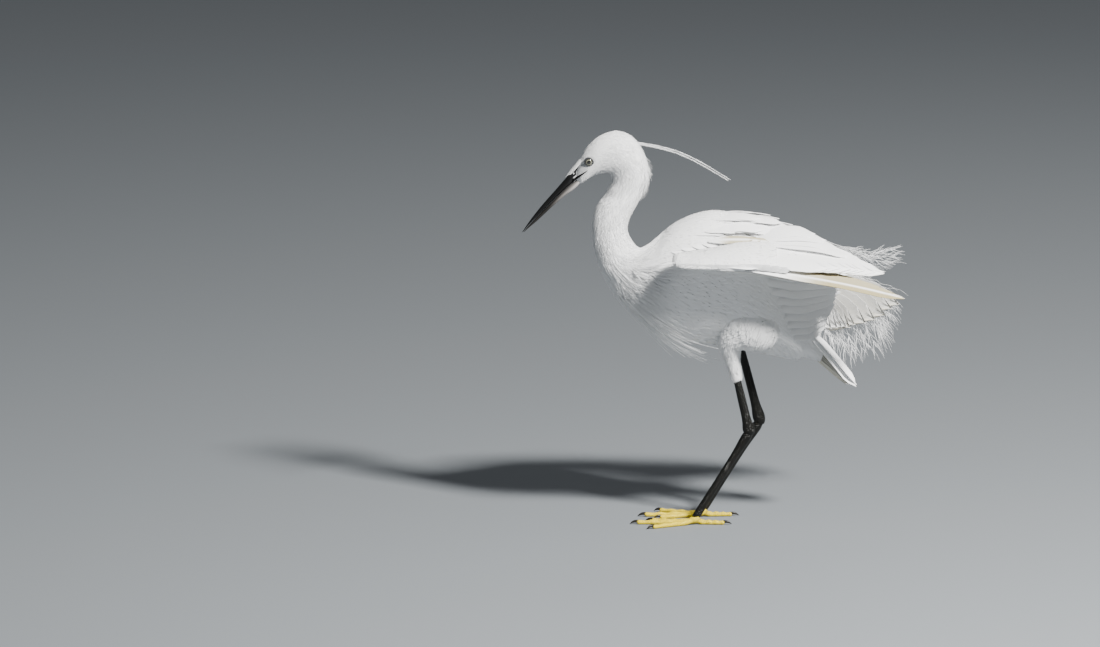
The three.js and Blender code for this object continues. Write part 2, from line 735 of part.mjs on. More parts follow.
function claw(name, toe) {
  const [, heading, length, share] = toe;
  const way = toeWay(name, heading);
  const joint = at(name === "left" ? LEFT_FOOT : RIGHT_FOOT);
  const r = TOE_RADIUS * share * 0.52;
  const station = (along, height, radius) => {
    const p = joint.clone().addScaledVector(way, length + along);
    return [p.x, p.y, height, radius * 0.85, radius];
  };
  const stations = [
    station(-0.5, 2.9, r),
    station(CLAW_LENGTH * 0.3, 3.2, r * 0.95),
    station(CLAW_LENGTH * 0.65, 2.6, r * 0.7),
    station(CLAW_LENGTH, 0.75, 0.3),
  ];
  return limb(stations, 6, 3, V(0, 0, 1));
}

// Head

// Bills as [culmen x, z, lower edge x, z, half width] of each section.
const UPPER_BILL = [
  [-131, 362, -128.5, 354.5, 4.6],
  [-139.5, 358.6, -140, 344.6, 5.9],
  [-148, 348.3, -149.6, 336.2, 5],
  [-158.5, 336, -160.5, 325.8, 4.1],
  [-172.5, 319.9, -174.8, 311.4, 3.1],
  [-184, 305, -185.5, 300.2, 1.9],
  [-191.6, 293.6, -191.2, 293.2, 0.45],
];
const LOWER_BILL = [
  [-129.5, 353.2, -131, 346, 4.4],
  [-140.4, 343.9, -140.5, 336.4, 5.5],
  [-150, 335.5, -150.6, 329, 4.7],
  [-160.9, 325.1, -162.2, 318.6, 3.8],
  [-175.2, 310.7, -176.6, 305, 2.7],
  [-185.6, 299.5, -186, 297, 1.5],
  [-190.2, 293.6, -190, 293.1, 0.45],
];

function bill(profile, grow = 0) {
  const rings = [];
  const steps = 9;
  const sides = 10;
  for (let i = 0; i <= steps; i++) {
    const [bx, bz, fx, fz, half] = smooth(profile, i / steps);
    const up = V(bx - fx, 0, bz - fz);
    const reach = up.length() / 2 + grow;
    up.normalize();
    const ring = [];
    for (let j = 0; j < sides; j++) {
      const a = (j / sides) * 2 * Math.PI;
      ring.push(
        V((bx + fx) / 2, 0, (bz + fz) / 2)
          .addScaledVector(up, Math.cos(a) * reach)
          .add(V(0, Math.sin(a) * (half + grow), 0)),
      );
    }
    rings.push(ring);
  }
  return skinOver(rings);
}

const eyeball = (side, grow = 0) =>
  ball(V(EYE[0], EYE[1] * side, EYE[2]), [EYE_RADIUS + grow, EYE_RADIUS + grow, EYE_RADIUS + grow], 12, 8);

// Two long narrow feathers of the nape, one beside the other.
const NAPE_PLUMES = [
  [[-84, -1.6, 385], [-62, -2.2, 381.6], [-38, -2.4, 375.6], [-14, -2.2, 364.6], [12.4, -2, 348.6]],
  [[-84, 1.8, 383], [-62, 2.2, 379.4], [-38, 2.2, 372.8], [-15, 2.0, 362], [10, 2, 347.4]],
];

function napePlumes() {
  return NAPE_PLUMES.map((places) =>
    strand(through(...places), { width: 3.4, normal: V(0.2, 0.75, 0.6).normalize(), steps: 7, taper: 0.35 }),
  );
}

// The rim of bare skin round an eye.
function lid(side) {
  const g = new THREE.TorusGeometry(4.3, 0.9, 4, 10);
  g.rotateX(Math.PI / 2);
  g.rotateZ(side * 0.16);
  g.translate(EYE[0], side * (EYE[1] + 2.9), EYE[2]);
  return solidOf(g);
}

// A slit through the side of the upper bill near its base.
function nostril(side) {
  const g = new THREE.BoxGeometry(8, 2.4, 1.1);
  g.rotateY(-0.9);
  g.translate(-147.5, side * 5.3, 346);
  return solidOf(g);
}

// The group of named meshes

const group = new THREE.Group();

// Adds a solid as a mesh that stands at its own anchor.
function node(name, made, material, anchor) {
  const mesh = made.getMesh();
  const positions = new Float32Array(mesh.numVert * 3);
  for (let i = 0; i < mesh.numVert; i++) {
    for (let k = 0; k < 3; k++) positions[i * 3 + k] = mesh.vertProperties[i * mesh.numProp + k] - anchor[k];
  }
  const geometry = new THREE.BufferGeometry();
  geometry.setAttribute("position", new THREE.BufferAttribute(positions, 3));
  geometry.setIndex(new THREE.BufferAttribute(new Uint32Array(mesh.triVerts), 1));
  geometry.computeVertexNormals();
  const part = new THREE.Mesh(geometry, material);
  part.name = name;
  part.position.set(...anchor);
  group.add(part);
  return part;
}

const torsoGrown = bodyLength(NECK_BASE - 0.3, TAIL_BASE, 14, GAP);

const eyesGrown = join([eyeball(-1, GAP), eyeball(1, GAP)]);
const upper = bill(UPPER_BILL).subtract(join([nostril(-1), nostril(1)]));
const upperGrown = bill(UPPER_BILL, GAP);
const lowerGrown = bill(LOWER_BILL, GAP);
const lower = largest(bill(LOWER_BILL).subtract(upperGrown));

const head = join([bodyLength(0, NECK_TOP, 12), lid(-1), lid(1), ...napePlumes()]);
const headCut = head.subtract(join([eyesGrown, upperGrown, lowerGrown]));
node("head", largest(headCut), WHITE_PLUMAGE, [-84, 0, 352]);
node("upper_bill", upper, BLACK_HORN, [-139, 0, 350]);
node("lower_bill", lower, GREY_HORN, [-139, 0, 340]);
node("left_eye", eyeball(-1), EYE_GLOSS, [EYE[0], -EYE[1], EYE[2]]);
node("right_eye", eyeball(1), EYE_GLOSS, EYE);
node("neck_upper", bodyLength(NECK_TOP + sectionStep(NECK_TOP), NECK_MIDDLE, 7), WHITE_PLUMAGE, [-102, 0, 300]);
node("neck_lower", largest(neckLower().subtract(torsoGrown)), WHITE_PLUMAGE, [-86, 0, 262]);

const torso = bodyLength(NECK_BASE + sectionStep(NECK_BASE), TAIL_BASE, 14).subtract(mantleCore(GAP));
node("torso", largest(torso), WHITE_PLUMAGE, [0, 0, 240]);
node("tail", largest(tail().subtract(torsoGrown)), WHITE_PLUMAGE, [92, 0, 185]);

node("left_wing", largest(wing(NEAR_WING).subtract(torsoGrown)), WHITE_PLUMAGE, NEAR_WING.shoulder);
node("right_wing", largest(wing(FAR_WING).subtract(torsoGrown)), WHITE_PLUMAGE, FAR_WING.shoulder);
const wingsGrown = join([wing(NEAR_WING, GAP), wing(FAR_WING, GAP)]);
const belowMantle = torsoGrown.subtract(mantleCore(GAP * 1.2));
node("mantle", largest(mantle().subtract(join([wingsGrown, belowMantle]))), WHITE_PLUMAGE, [0, 0, 300]);

for (const name of ["left", "right"]) {
  const thighMade = thigh(name).subtract(torsoGrown);
  const ankle = name === "left" ? LEFT_ANKLE : RIGHT_ANKLE;
  const joint = name === "left" ? LEFT_FOOT : RIGHT_FOOT;
  node(name + "_thigh", largest(thighMade), WHITE_PLUMAGE, THIGHS[name][2].slice(0, 3));
  node(name + "_tibia", largest(tibia(name).subtract(thigh(name, GAP))), BLACK_SCALES, ankle);
  node(name + "_tarsus", largest(tarsus(name).subtract(tibia(name, GAP))), BLACK_SCALES, ankle);
  const footMade = foot(name).subtract(tarsus(name, GAP));
  node(name + "_foot", largest(footMade), YELLOW_SCALES, joint);
  for (const toe of TOES) {
    const way = toeWay(name, toe[1]);
    const tip = at(joint).addScaledVector(way, toe[2]);
    const made = largest(claw(name, toe).subtract(foot(name, GAP)).trimByPlane([0, 0, 1], FLOOR));
    node(name + "_" + toe[0] + "_claw", made, BLACK_HORN, [tip.x, tip.y, TOE_HEIGHT]);
  }
}

export default group;
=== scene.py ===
import math

import bpy
import numpy as np
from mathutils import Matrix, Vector


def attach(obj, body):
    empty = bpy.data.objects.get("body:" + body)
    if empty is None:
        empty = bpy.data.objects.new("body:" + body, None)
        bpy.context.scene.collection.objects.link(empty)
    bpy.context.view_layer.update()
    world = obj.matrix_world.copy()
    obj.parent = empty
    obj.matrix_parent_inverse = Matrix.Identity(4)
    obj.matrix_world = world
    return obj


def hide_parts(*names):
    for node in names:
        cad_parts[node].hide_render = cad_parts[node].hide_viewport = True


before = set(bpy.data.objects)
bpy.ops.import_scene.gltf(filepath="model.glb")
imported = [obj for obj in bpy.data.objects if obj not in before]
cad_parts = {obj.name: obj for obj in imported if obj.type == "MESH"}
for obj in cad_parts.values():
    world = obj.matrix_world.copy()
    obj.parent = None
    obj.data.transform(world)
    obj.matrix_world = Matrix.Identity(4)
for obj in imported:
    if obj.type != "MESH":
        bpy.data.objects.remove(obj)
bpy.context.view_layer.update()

# Shapes below are written in millimetres, in the frame of the solids, and become metres in add_mesh.
MM = 0.001
rng = np.random.default_rng(11)
TURN = 2 * math.pi

# The near wing is the bird's left one, at -Y.
NEAR, FAR = -1, 1


def vec(*p):
    return np.array(p, float)


def unit(v):
    return v / np.maximum(np.linalg.norm(v, axis=-1, keepdims=True), 1e-9)


def mix(a, b, t):
    return a + (b - a) * t


def wrapped(a):
    """An angle brought to within half a turn of zero."""
    return (a + math.pi) % TURN - math.pi


def read(table, at, column=1):
    """A column of a table, read at values of its first column."""
    return np.interp(at, table[:, 0], table[:, column])


def shares(count):
    """Even shares from 0 to 1."""
    return [i / (count - 1) for i in range(count)]


def smooth(stations, t):
    """Values between stations at shares t of their length, smooth through each station."""
    stations = np.asarray(stations, float)
    n = len(stations) - 1
    f = np.clip(t, 0, 1) * n
    i = np.minimum(np.floor(f).astype(int), n - 1)
    u = (f - i).reshape(i.shape + (1,) * (stations.ndim - 1))
    p0, p1, p2, p3 = (stations[np.clip(i + k, 0, n)] for k in (-1, 0, 1, 2))
    bend = 2 * p0 - 5 * p1 + 4 * p2 - p3 + u * (3 * (p1 - p2) + p3 - p0)
    return p1 + 0.5 * u * (p2 - p0 + u * bend)


def heading(stations, t):
    """The direction at shares t of a smooth line through stations, whose first three columns are x, y, z."""
    return unit((smooth(stations, t + 0.01) - smooth(stations, t - 0.01))[..., :3])


def bump(t, centre, half):
    """1 at the centre, falling smoothly to 0 at half away from it."""
    x = np.clip(np.abs(t - centre) / half, 0, 1)
    return (1 - x * x) ** 2


# Meshes


def add_mesh(name, points, quads, material, uvs=None, tint=None, normals=None):
    mesh = bpy.data.meshes.new(name)
    points = np.asarray(points, float).reshape(-1, 3)
    quads = np.asarray(quads, int).reshape(-1, 4)
    mesh.vertices.add(len(points))
    mesh.vertices.foreach_set("co", (points * MM).ravel())
    mesh.loops.add(quads.size)
    mesh.loops.foreach_set("vertex_index", quads.ravel())
    mesh.polygons.add(len(quads))
    mesh.polygons.foreach_set("loop_start", np.arange(len(quads)) * 4)
    mesh.polygons.foreach_set("use_smooth", np.ones(len(quads), bool))
    mesh.update(calc_edges=True)
    for layer_name, coordinates in (uvs or {}).items():
        layer = mesh.uv_layers.new(name=layer_name)
        layer.data.foreach_set("uv", np.asarray(coordinates).reshape(-1, 2)[quads.ravel()].ravel())
    if tint is not None:
        attribute = mesh.attributes.new("tint", "FLOAT", "POINT")
        values = np.zeros(len(points)) + np.ravel(tint)
        attribute.data.foreach_set("value", values.astype(np.float32))
    mesh.validate()
    if normals is not None:
        corners = normals[quads]
        is_edge = (corners[:, 0] * corners[:, 2]).sum(-1) < 0
        corners[is_edge] = 0
        mesh.normals_split_custom_set(corners.reshape(-1, 3))
    made = bpy.data.objects.new(name, mesh)
    bpy.context.scene.collection.objects.link(made)
    mesh.materials.append(material)
    return made


def joined(name, parts, material, tint=None):
    """One mesh of several closed bodies, each of them points and quads."""
    starts = np.cumsum([0] + [len(points) for points, _ in parts])
    points = np.concatenate([points for points, _ in parts])
    quads = np.concatenate([quads + start for (_, quads), start in zip(parts, starts)])
    return add_mesh(name, points, quads, material, tint=tint)


def piece(made, slot, *nodes):
    """The object rides on the bird and stands for these nodes. slot is not used."""
    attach(made, "root")
    if nodes:
        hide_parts(*nodes)
    return made


def sheet_quads(rows, columns):
    """Quads of a closed sheet whose points are a top grid and then a bottom grid."""
    top = np.arange(rows * columns).reshape(rows, columns)
    low = top + rows * columns
    quads = []

    def strip(a, b, c, d):
        quads.append(np.stack([a, b, c, d], -1).reshape(-1, 4))

    strip(top[:-1, :-1], top[:-1, 1:], top[1:, 1:], top[1:, :-1])
    strip(low[:-1, :-1], low[1:, :-1], low[1:, 1:], low[:-1, 1:])
    strip(top[:-1, 0], top[1:, 0], low[1:, 0], low[:-1, 0])
    strip(top[1:, -1], top[:-1, -1], low[:-1, -1], low[1:, -1])
    strip(top[0, 1:], top[0, :-1], low[0, :-1], low[0, 1:])
    strip(top[-1, :-1], top[-1, 1:], low[-1, 1:], low[-1, :-1])
    return np.concatenate(quads)


def sheets(top, low):
    """Points, quads and normals of many closed sheets. top and low are grids [sheet, row, column, xyz]."""
    count, rows, columns = top.shape[:3]
    middle = (top + low) / 2
    face = unit(np.cross(np.gradient(middle, axis=2), np.gradient(middle, axis=1)))
    turned = ((top - low) * face).sum((1, 2, 3)) < 0
    face = np.where(turned[:, None, None, None], -face, face)
    quads = sheet_quads(rows, columns)[None] + (np.arange(count) * rows * columns * 2)[:, None, None]
    quads = np.where(turned[:, None, None], quads[..., ::-1], quads)
    points = np.stack([top, low], 1).reshape(-1, 3)
    return points, quads.reshape(-1, 4), np.stack([face, -face], 1).reshape(-1, 3)


# How far the ring at an end closes towards its middle.
END_SHARE = 0.995


def loft(rings):
    """Points and quads of a closed body through rings [ring, point, xyz], which end in tiny rings."""
    count = rings.shape[1]
    first, last = (mix(ring, ring.mean(0), END_SHARE)[None] for ring in (rings[0], rings[-1]))
    rings = np.concatenate([first, rings, last])
    index = np.arange(rings.shape[0] * count).reshape(-1, count)
    after = np.roll(index, -1, 1)
    sides = np.stack([index[1:], after[1:], after[:-1], index[:-1]], -1).reshape(-1, 4)
    ends = []
    for ring, way in ((index[0], -1), (index[-1], 1)):
        for j in range(count // 2 - 1):
            ends.append([ring[j], ring[j + 1], ring[count - 2 - j], ring[count - 1 - j]][::way])
    return rings.reshape(-1, 3), np.concatenate([sides, ends])


def tube_grid(start, end, rings, sides):
    """Grids of stations along a tube and of angles round it."""
    return np.meshgrid(np.linspace(start, end, rings), np.arange(sides) / sides * TURN, indexing="ij")


def surface_loft(surface, start, end, rings, sides, out=0.0):
    return loft(surface(*tube_grid(start, end, rings, sides), out))


def limb_surface(stations, hint):
    """A surface round a limb through stations of [x, y, z, half width across, half width along hint]."""

    def point(s, a, out=0.0):
        s, a, out = np.broadcast_arrays(s, a, out)
        here = smooth(stations, s)
        tangent = heading(stations, s)
        across = unit(np.cross(tangent, hint))
        up = np.cross(across, tangent)
        ca = (np.cos(a) * (here[..., 3] + out))[..., None]
        sa = (np.sin(a) * (here[..., 4] + out))[..., None]
        return here[..., :3] + across * ca + up * sa

    return point


def oval(profile, t, a, deeper, wider, swell=0):
    """Places at angle a round the sections of a profile, each made deeper and wider by these ways."""
    bx, bz, fx, fz, half = np.moveaxis(smooth(profile, t), -1, 0)
    ux, uz = bx - fx, bz - fz
    length = np.hypot(ux, uz)
    reach = length / 2 + deeper
    x = (bx + fx) / 2 + ux / length * np.cos(a) * reach
    z = (bz + fz) / 2 + uz / length * np.cos(a) * reach
    return np.stack([x, np.sin(a) * (half + wider + swell), z], -1)


# Body. Its sections are those of the solids: [back x, back z, front x, front z, half width].

PROFILE = vec(
    [-138.5, 357.6, -137.5, 343, 5.6],
    [-133.5, 369, -134, 342, 9.5],
    [-126, 380.5, -128, 345.5, 13],
    [-114, 390.8, -122, 349.5, 15.3],
    [-99, 395.4, -116, 352, 16.4],
    [-83, 390.5, -110, 353.4, 16.4],
    [-71.5, 376, -105.5, 353.6, 15.4],
    [-66.2, 359, -102, 350.5, 14.4],
    [-66, 346, -101.5, 343.5, 14],
    [-73, 329, -107.5, 333, 14],
    [-80, 316.7, -116, 321.5, 14.3],
    [-85, 306.5, -120.7, 309, 14.6],
    [-86.8, 295.4, -122, 295, 15.2],
    [-82.5, 284.5, -120.3, 278, 17.5],
    [-74, 276.3, -115, 260, 22],
    [-64.5, 280, -106.5, 243, 28],
    [-55, 288.5, -94, 227, 35],
    [-40, 302, -76, 212.5, 42],
    [-19, 312, -51, 194, 47.5],
    [3, 315.5, -22, 181.5, 49.5],
    [25, 310, 6, 178, 48.5],
    [47, 294, 32, 173.5, 44.5],
    [66, 266, 55, 169, 38],
    [80, 237, 71, 165.5, 31],
    [92, 212, 82, 163, 24],
    [98.5, 198, 89, 166, 17],
    [104, 188, 95, 164.5, 12],
    [108, 180, 100, 163, 8],
    [111, 173, 106, 161.5, 3.5],
)
LAST = len(PROFILE) - 1
CROWN_START, HEAD_END, NECK_END, RUMP_START = 3.2, 7.4, 15.6, 20.0
FLANK_SWELL, FLANK_SECTION, FLANK_ANGLE = 8.0, 23, 2.0


def body_point(s, a, out=0.0):
    """The body's surface at section s and angle a: 0 is the back, a quarter turn is the right side."""
    s, a, out = np.broadcast_arrays(s, a, out)
    swell = FLANK_SWELL * bump(s, FLANK_SECTION, 4) * bump(np.abs(wrapped(a)), FLANK_ANGLE, 0.8)
    return oval(PROFILE, s / LAST, a, out, out, swell)


# How deep the coat of feathers is: [section, depth].
COAT_DEPTH = vec([0, 0.7], [2, 1.0], [6, 1.4], [12, 1.6], [18, 1.7], [28, 1.5])


def skin_surface(s, a, out=0.0):
    """The skin under the feathers of the body."""
    return body_point(s, a, np.asarray(out) - read(COAT_DEPTH, s))


# Materials


def set_inputs(node, settings):
    for name, value in settings.items():
        node.inputs[name].default_value = value


class Look:
    """A material with a shader, and the nodes that feed it."""

    def __init__(self, name, colour, roughness, settings=None):
        self.material = bpy.data.materials.new(name)
        self.material.use_nodes = True
        self.tree = self.material.node_tree
        self.shader = self.tree.nodes["Principled BSDF"]
        set_inputs(self.shader, {"Base Color": (*colour, 1), "Roughness": roughness, **(settings or {})})

    def node(self, kind, settings=None):
        made = self.tree.nodes.new("ShaderNode" + kind)
        set_inputs(made, settings or {})
        return made

    def link(self, source, output, target, entry):
        self.tree.links.new(source.outputs[output], target.inputs[entry])

    def mixed(self, source, output, first, second):
        """The colour goes from the first to the second as the source rises."""
        made = self.node("Mix")
        made.data_type = "RGBA"
        set_inputs(made, {"A": (*first, 1), "B": (*second, 1)})
        self.link(source, output, made, "Factor")
        self.link(made, "Result", self.shader, "Base Color")

    def tinted(self, first, second):
        """The colour follows the tint attribute."""
        tint = self.node("Attribute")
        tint.attribute_name = "tint"
        self.mixed(tint, "Fac", first, second)

    def bumps(self, source, output, strength, distance):
        made = self.node("Bump", {"Strength": strength, "Distance": distance})
        self.link(source, output, made, "Height")
        self.link(made, "Normal", self.shader, "Normal")


WHITE = (0.86, 0.865, 0.87)
# Painted shade for white feathers: the warm tone of shaded vanes with light coming through them.
SHADE_TAN = (0.3, 0.25, 0.11)
HORN_SHINE = {"Specular IOR Level": 0.22}


def plumage_material(name, barb_scale, barb_depth):
    """White feathers. The tint attribute paints a tan shade on them, and the vane map carries their barbs."""
    settings = {
        "Subsurface Weight": 0.08,
        "Subsurface Radius": (1.0, 0.95, 0.85),
        "Subsurface Scale": 0.002,
        "Sheen Weight": 0.1,
        "Specular IOR Level": 0.25,
    }
    look = Look(name, WHITE, 0.62, settings)
    look.tinted(WHITE, SHADE_TAN)
    vane = look.node("UVMap")
    vane.uv_map = "vane"
    stretch = look.node("Mapping", {"Scale": (*barb_scale, 1)})
    noise = look.node("TexNoise", {"Scale": 1, "Detail": 3})
    look.link(vane, "UV", stretch, "Vector")
    look.link(stretch, "Vector", noise, "Vector")
    look.bumps(noise, "Fac", 0.5, barb_depth)
    return look.material


def horn_material(name, colour, base_colour, roughness):
    """Horn with a fine grain. The tint attribute gives it the colour of its base."""
    look = Look(name, colour, roughness, HORN_SHINE)
    look.tinted(colour, base_colour)
    noise = look.node("TexNoise", {"Scale": 260, "Detail": 4})
    look.link(look.node("TexCoord"), "Object", noise, "Vector")
    look.bumps(noise, "Fac", 0.25, 0.0004)
    return look.material


def scale_material(name, colour, gap_colour, roughness, size):
    """Scaly skin: rounded cells of a size in millimetres, with darker lines between them."""
    look = Look(name, colour, roughness, HORN_SHINE)
    cells = look.node("TexVoronoi", {"Scale": 1 / (size * MM)})
    cells.feature = "DISTANCE_TO_EDGE"
    ramp = look.node("MapRange", {"From Max": 0.09})
    look.link(look.node("TexCoord"), "Object", cells, "Vector")
    look.link(cells, "Distance", ramp, "Value")
    look.mixed(ramp, "Result", gap_colour, colour)
    look.bumps(ramp, "Result", 0.6, 0.0003)
    return look.material


EYE_RADIUS = 5.1
EYE = vec(-125.2, 9.6, 366)
IRIS = (0.16, 0.17, 0.16)
PUPIL_RADIUS, IRIS_RADIUS = 1.9, 2.9


def eye_material():
    """An eye that is black in the middle, grey round that and dark at its rim."""
    look = Look("eye_gloss", IRIS, 0.05, {"Coat Weight": 1.0, "Coat Roughness": 0.02})
    flat = look.node("VectorMath")
    flat.operation = "MULTIPLY"
    flat.inputs[1].default_value = (1 / MM, 0, 1 / MM)
    length = look.node("VectorMath")
    length.operation = "LENGTH"
    scale = look.node("MapRange", {"From Max": EYE_RADIUS})
    ramp = look.node("ValToRGB")
    look.link(look.node("TexCoord"), "Object", flat, 0)
    look.link(flat, "Vector", length, 0)
    look.link(length, "Value", scale, "Value")
    look.link(scale, "Result", ramp, "Fac")
    look.link(ramp, "Color", look.shader, "Base Color")
    stops = ramp.color_ramp.elements
    black = (0.008, 0.008, 0.008, 1)
    stops[0].position, stops[0].color = 0, black
    stops[1].position, stops[1].color = PUPIL_RADIUS / EYE_RADIUS, black
    for radius, colour in (
        (PUPIL_RADIUS + 0.15, (0.14, 0.135, 0.08)),
        (PUPIL_RADIUS + 0.5, IRIS),
        (IRIS_RADIUS - 0.3, (0.22, 0.21, 0.14)),
        (IRIS_RADIUS, (0.02, 0.02, 0.018)),
    ):
        stops.new(radius / EYE_RADIUS).color = (*colour, 1)
    return look.material


PLUMAGE = plumage_material("plumage", (26, 2.2), 0.00035)
FLIGHT_PLUMAGE = plumage_material("flight_plumage", (7, 90), 0.0002)
BLACK_HORN = horn_material("black_horn", (0.005, 0.005, 0.005), (0.03, 0.032, 0.035), 0.3)
GREY_HORN = horn_material("grey_horn", (0.016, 0.015, 0.014), (0.66, 0.62, 0.6), 0.35)
CLAW_HORN = horn_material("claw_horn", (0.018, 0.016, 0.013), (0.05, 0.04, 0.02), 0.35)
BARE_SKIN = scale_material("bare_skin", (0.55, 0.56, 0.57), (0.4, 0.41, 0.43), 0.5, 0.9)
BLACK_SCALES = scale_material("black_scales", (0.006, 0.006, 0.005), (0.003, 0.003, 0.003), 0.27, 2.2)
YELLOW_SCALES = scale_material("yellow_scales", (0.68, 0.52, 0.02), (0.3, 0.2, 0.008), 0.4, 1.6)
EYE_GLOSS = eye_material()
SKIN_WHITE = Look("skin_white", (0.8, 0.8, 0.79), 0.8).material
DARK_RIM = Look("dark_rim", (0.03, 0.032, 0.035), 0.45).material
FLOOR = Look("floor_grey", (0.17, 0.185, 0.2), 0.8).material


# Feathers laid on a surface

VANE_THICK = 0.14
# How far a laid feather leans to one side and strays from its line, at random.
LEAN, STRAY = 0.05, 0.09
# The steps over which a surface is measured, and how many places round it are.
NUDGE, ROW_NUDGE = 0.02, 0.05
PROBES = 25
# The size of a short feather's patch on the bake map.
BAKE_PATCH = 0.003


def paces(surface, s, a):
    """How many millimetres one section and one radian cover at a place on a surface."""
    here = surface(s, a)
    ahead = np.linalg.norm(surface(s + NUDGE, a) - here, axis=-1) / NUDGE
    beside = np.linalg.norm(surface(s, a + NUDGE) - here, axis=-1) / NUDGE
    return ahead, beside


def lay_feathers(surface, roots, lengths, widths, lift, rows, columns, sag):
    """The top and bottom grids of feathers that follow a surface from roots [section, angle].

    lift is how far their roots and tips stand out from it, and sag tucks their edges in.
    """
    s0, a0, lengths, widths = (values[:, None, None] for values in (*roots.T, lengths, widths))
    ahead, beside = paces(surface, s0, a0)
    t = np.linspace(0, 1, rows)[None, :, None]
    c = np.linspace(-1, 1, columns)[None, None, :]
    outline = 0.42 + 0.9 * np.sqrt(t) - 1.02 * t**3.2
    wander, lean = rng.standard_normal((2, len(roots), 1, 1))
    stray = STRAY * wander * t * (lengths / np.maximum(widths, 1e-3))
    s = s0 + lengths / np.maximum(ahead, 1e-3) * (t - 0.1 * t * c * c)
    a = a0 + widths / 2 / np.maximum(beside, 1e-3) * (c * outline + stray)
    out = mix(*lift, t) - sag * widths * c * c * t + LEAN * lean * c * t
    return surface(s, a, out), surface(s, a, out - VANE_THICK * (1 - 0.6 * t))


def two_maps(places, bake_grid, vane_grid):
    """A bake map with one patch at each feather's place, and a vane map that is shifted at random."""
    shape = (len(places), 2, *vane_grid.shape)
    bake = places[:, None, None, None, :] + bake_grid
    vane = vane_grid + rng.uniform(0, 50, (len(places), 1, 1, 1, 2))
    return {"OFBake": np.broadcast_to(bake, shape), "vane": np.broadcast_to(vane, shape)}


def feather_maps(places, rows, columns):
    """Maps of short feathers, which share the colours of their root's place."""
    c, t = np.meshgrid(np.linspace(-0.5, 0.5, columns), np.linspace(0, 1, rows))
    return two_maps(places, np.stack([c, t - 0.5], -1) * BAKE_PATCH, np.stack([c + 0.5, t], -1))


def cell_maps(count, rows, columns):
    """Maps of long feathers, each with its own cell of the bake map."""
    c, t = np.meshgrid(np.linspace(0.1, 0.9, columns), np.linspace(0.05, 0.95, rows))
    grid = np.stack([c, t], -1)
    per_row = math.ceil(math.sqrt(count))
    cell = 0.98 / per_row
    i = np.arange(count)
    corners = 0.01 + np.stack([i % per_row, i // per_row], -1) * cell
    return two_maps(corners, grid * cell, grid)


def unwrap(left, wide, low=0.02, high=0.96, last=1):
    """A function that places roots on the bake map: round their surface across, and along it upwards."""

    def place(roots):
        s, a = np.clip(roots[:, 0], 0, last), roots[:, 1]
        return np.stack([left + wide * (a % TURN) / TURN, low + high * s / last], -1)

    return place


def feather_piece(name, top, low, maps, material=PLUMAGE, tint=0, nodes=()):
    """One object of feathers, from the grids of their tops and bottoms."""
    points, quads, normals = sheets(top, low)
    return piece(add_mesh(name, points, quads, material, maps, tint, normals), "white_plumage", *nodes)


def rows_of_roots(surface, start, end, pitch, gap):
    """Staggered roots over a surface. pitch is the way between rows and gap that between neighbours."""
    roots = []
    probe = np.linspace(0, TURN, PROBES)
    s, row = start, 0
    while s < end:
        girth = np.linalg.norm(np.diff(surface(s, probe), axis=0), axis=-1).sum()
        count = max(3, int(girth / gap(s)))
        a = (np.arange(count) + 0.5 * (row % 2)) / count * TURN
        a = a + rng.uniform(-0.25, 0.25, count) * TURN / count
        sections = s + rng.uniform(-0.3, 0.3, count) * pitch(s) * 0.02
        roots.append(np.stack([sections, a], -1))
        ways = surface(s + ROW_NUDGE, probe[::3]) - surface(s, probe[::3])
        s += pitch(s) / max(np.mean(np.linalg.norm(ways, axis=-1)) / ROW_NUDGE, 1e-3)
        row += 1
    return np.concatenate(roots)


def coat(name, surface, roots, lengths, widths, lift, bake, rows, columns, sag=0.04):
    """A piece of short feathers. bake gives a root's place on the bake map."""
    top, low = lay_feathers(surface, roots, lengths, widths, lift, rows, columns, sag)
    return feather_piece(name, top, low, feather_maps(bake(roots), rows, columns))


def strands(paths, widths, normals, steps, taper, thick):
    """The top and bottom grids of thin tapered ribbons along paths [strand, station, xyz]."""
    t = np.linspace(0, 1, steps)
    line = smooth(np.swapaxes(paths, 0, 1), t).swapaxes(0, 1)
    tangent = unit(np.gradient(line, axis=1))
    across = unit(np.cross(tangent, normals[:, None, :]))
    level = unit(np.cross(across, tangent))
    half = (widths[:, None] / 2 * mix(1, taper, t**1.5))[..., None]
    deep = thick / 2 * mix(1, 0.5, t)[None, :, None]
    left, right = line - across * half, line + across * half
    top = np.stack([left + level * deep, right + level * deep], 2)
    low = np.stack([left - level * deep, right - level * deep], 2)
    return top, low


def strand_piece(name, groups, place):
    """One object of strands. groups are arguments of strands, with equal steps."""
    tops, lows = zip(*(strands(*group) for group in groups))
    top, low = np.concatenate(tops), np.concatenate(lows)
    count, rows = top.shape[:2]
    places = place + rng.uniform(-0.02, 0.02, (count, 2))
    return feather_piece(name, top, low, feather_maps(places, rows, 2))


DOWN_STEPS = 4


def down(name, surface, count, sections, angles, length, width, rise, bake):
    """Loose fine barbs between two sections and two angles. rise is how far their tips stand off."""
    s0 = rng.uniform(*sections, count)
    a0 = rng.uniform(*angles, count)
    ahead = paces(surface, s0, a0)[0]
    size = length * (0.7 + 0.6 * rng.random(count))
    t = np.linspace(0, 1, DOWN_STEPS)
    sway = rng.standard_normal(count)[:, None] * 0.12 * t**2
    out = (rise * (0.4 + 0.9 * rng.random(count)))[:, None] * t**2 - 0.4
    paths = surface(s0[:, None] + (size / ahead)[:, None] * t, a0[:, None] + sway, out)
    normals = surface(s0, a0, 1.0) - surface(s0, a0)
    top, low = strands(paths, np.full(count, width), normals, DOWN_STEPS, 0.3, 0.12)
    return feather_piece(name, top, low, feather_maps(bake(np.stack([s0, a0], -1)), DOWN_STEPS, 2))


# Coat of the body

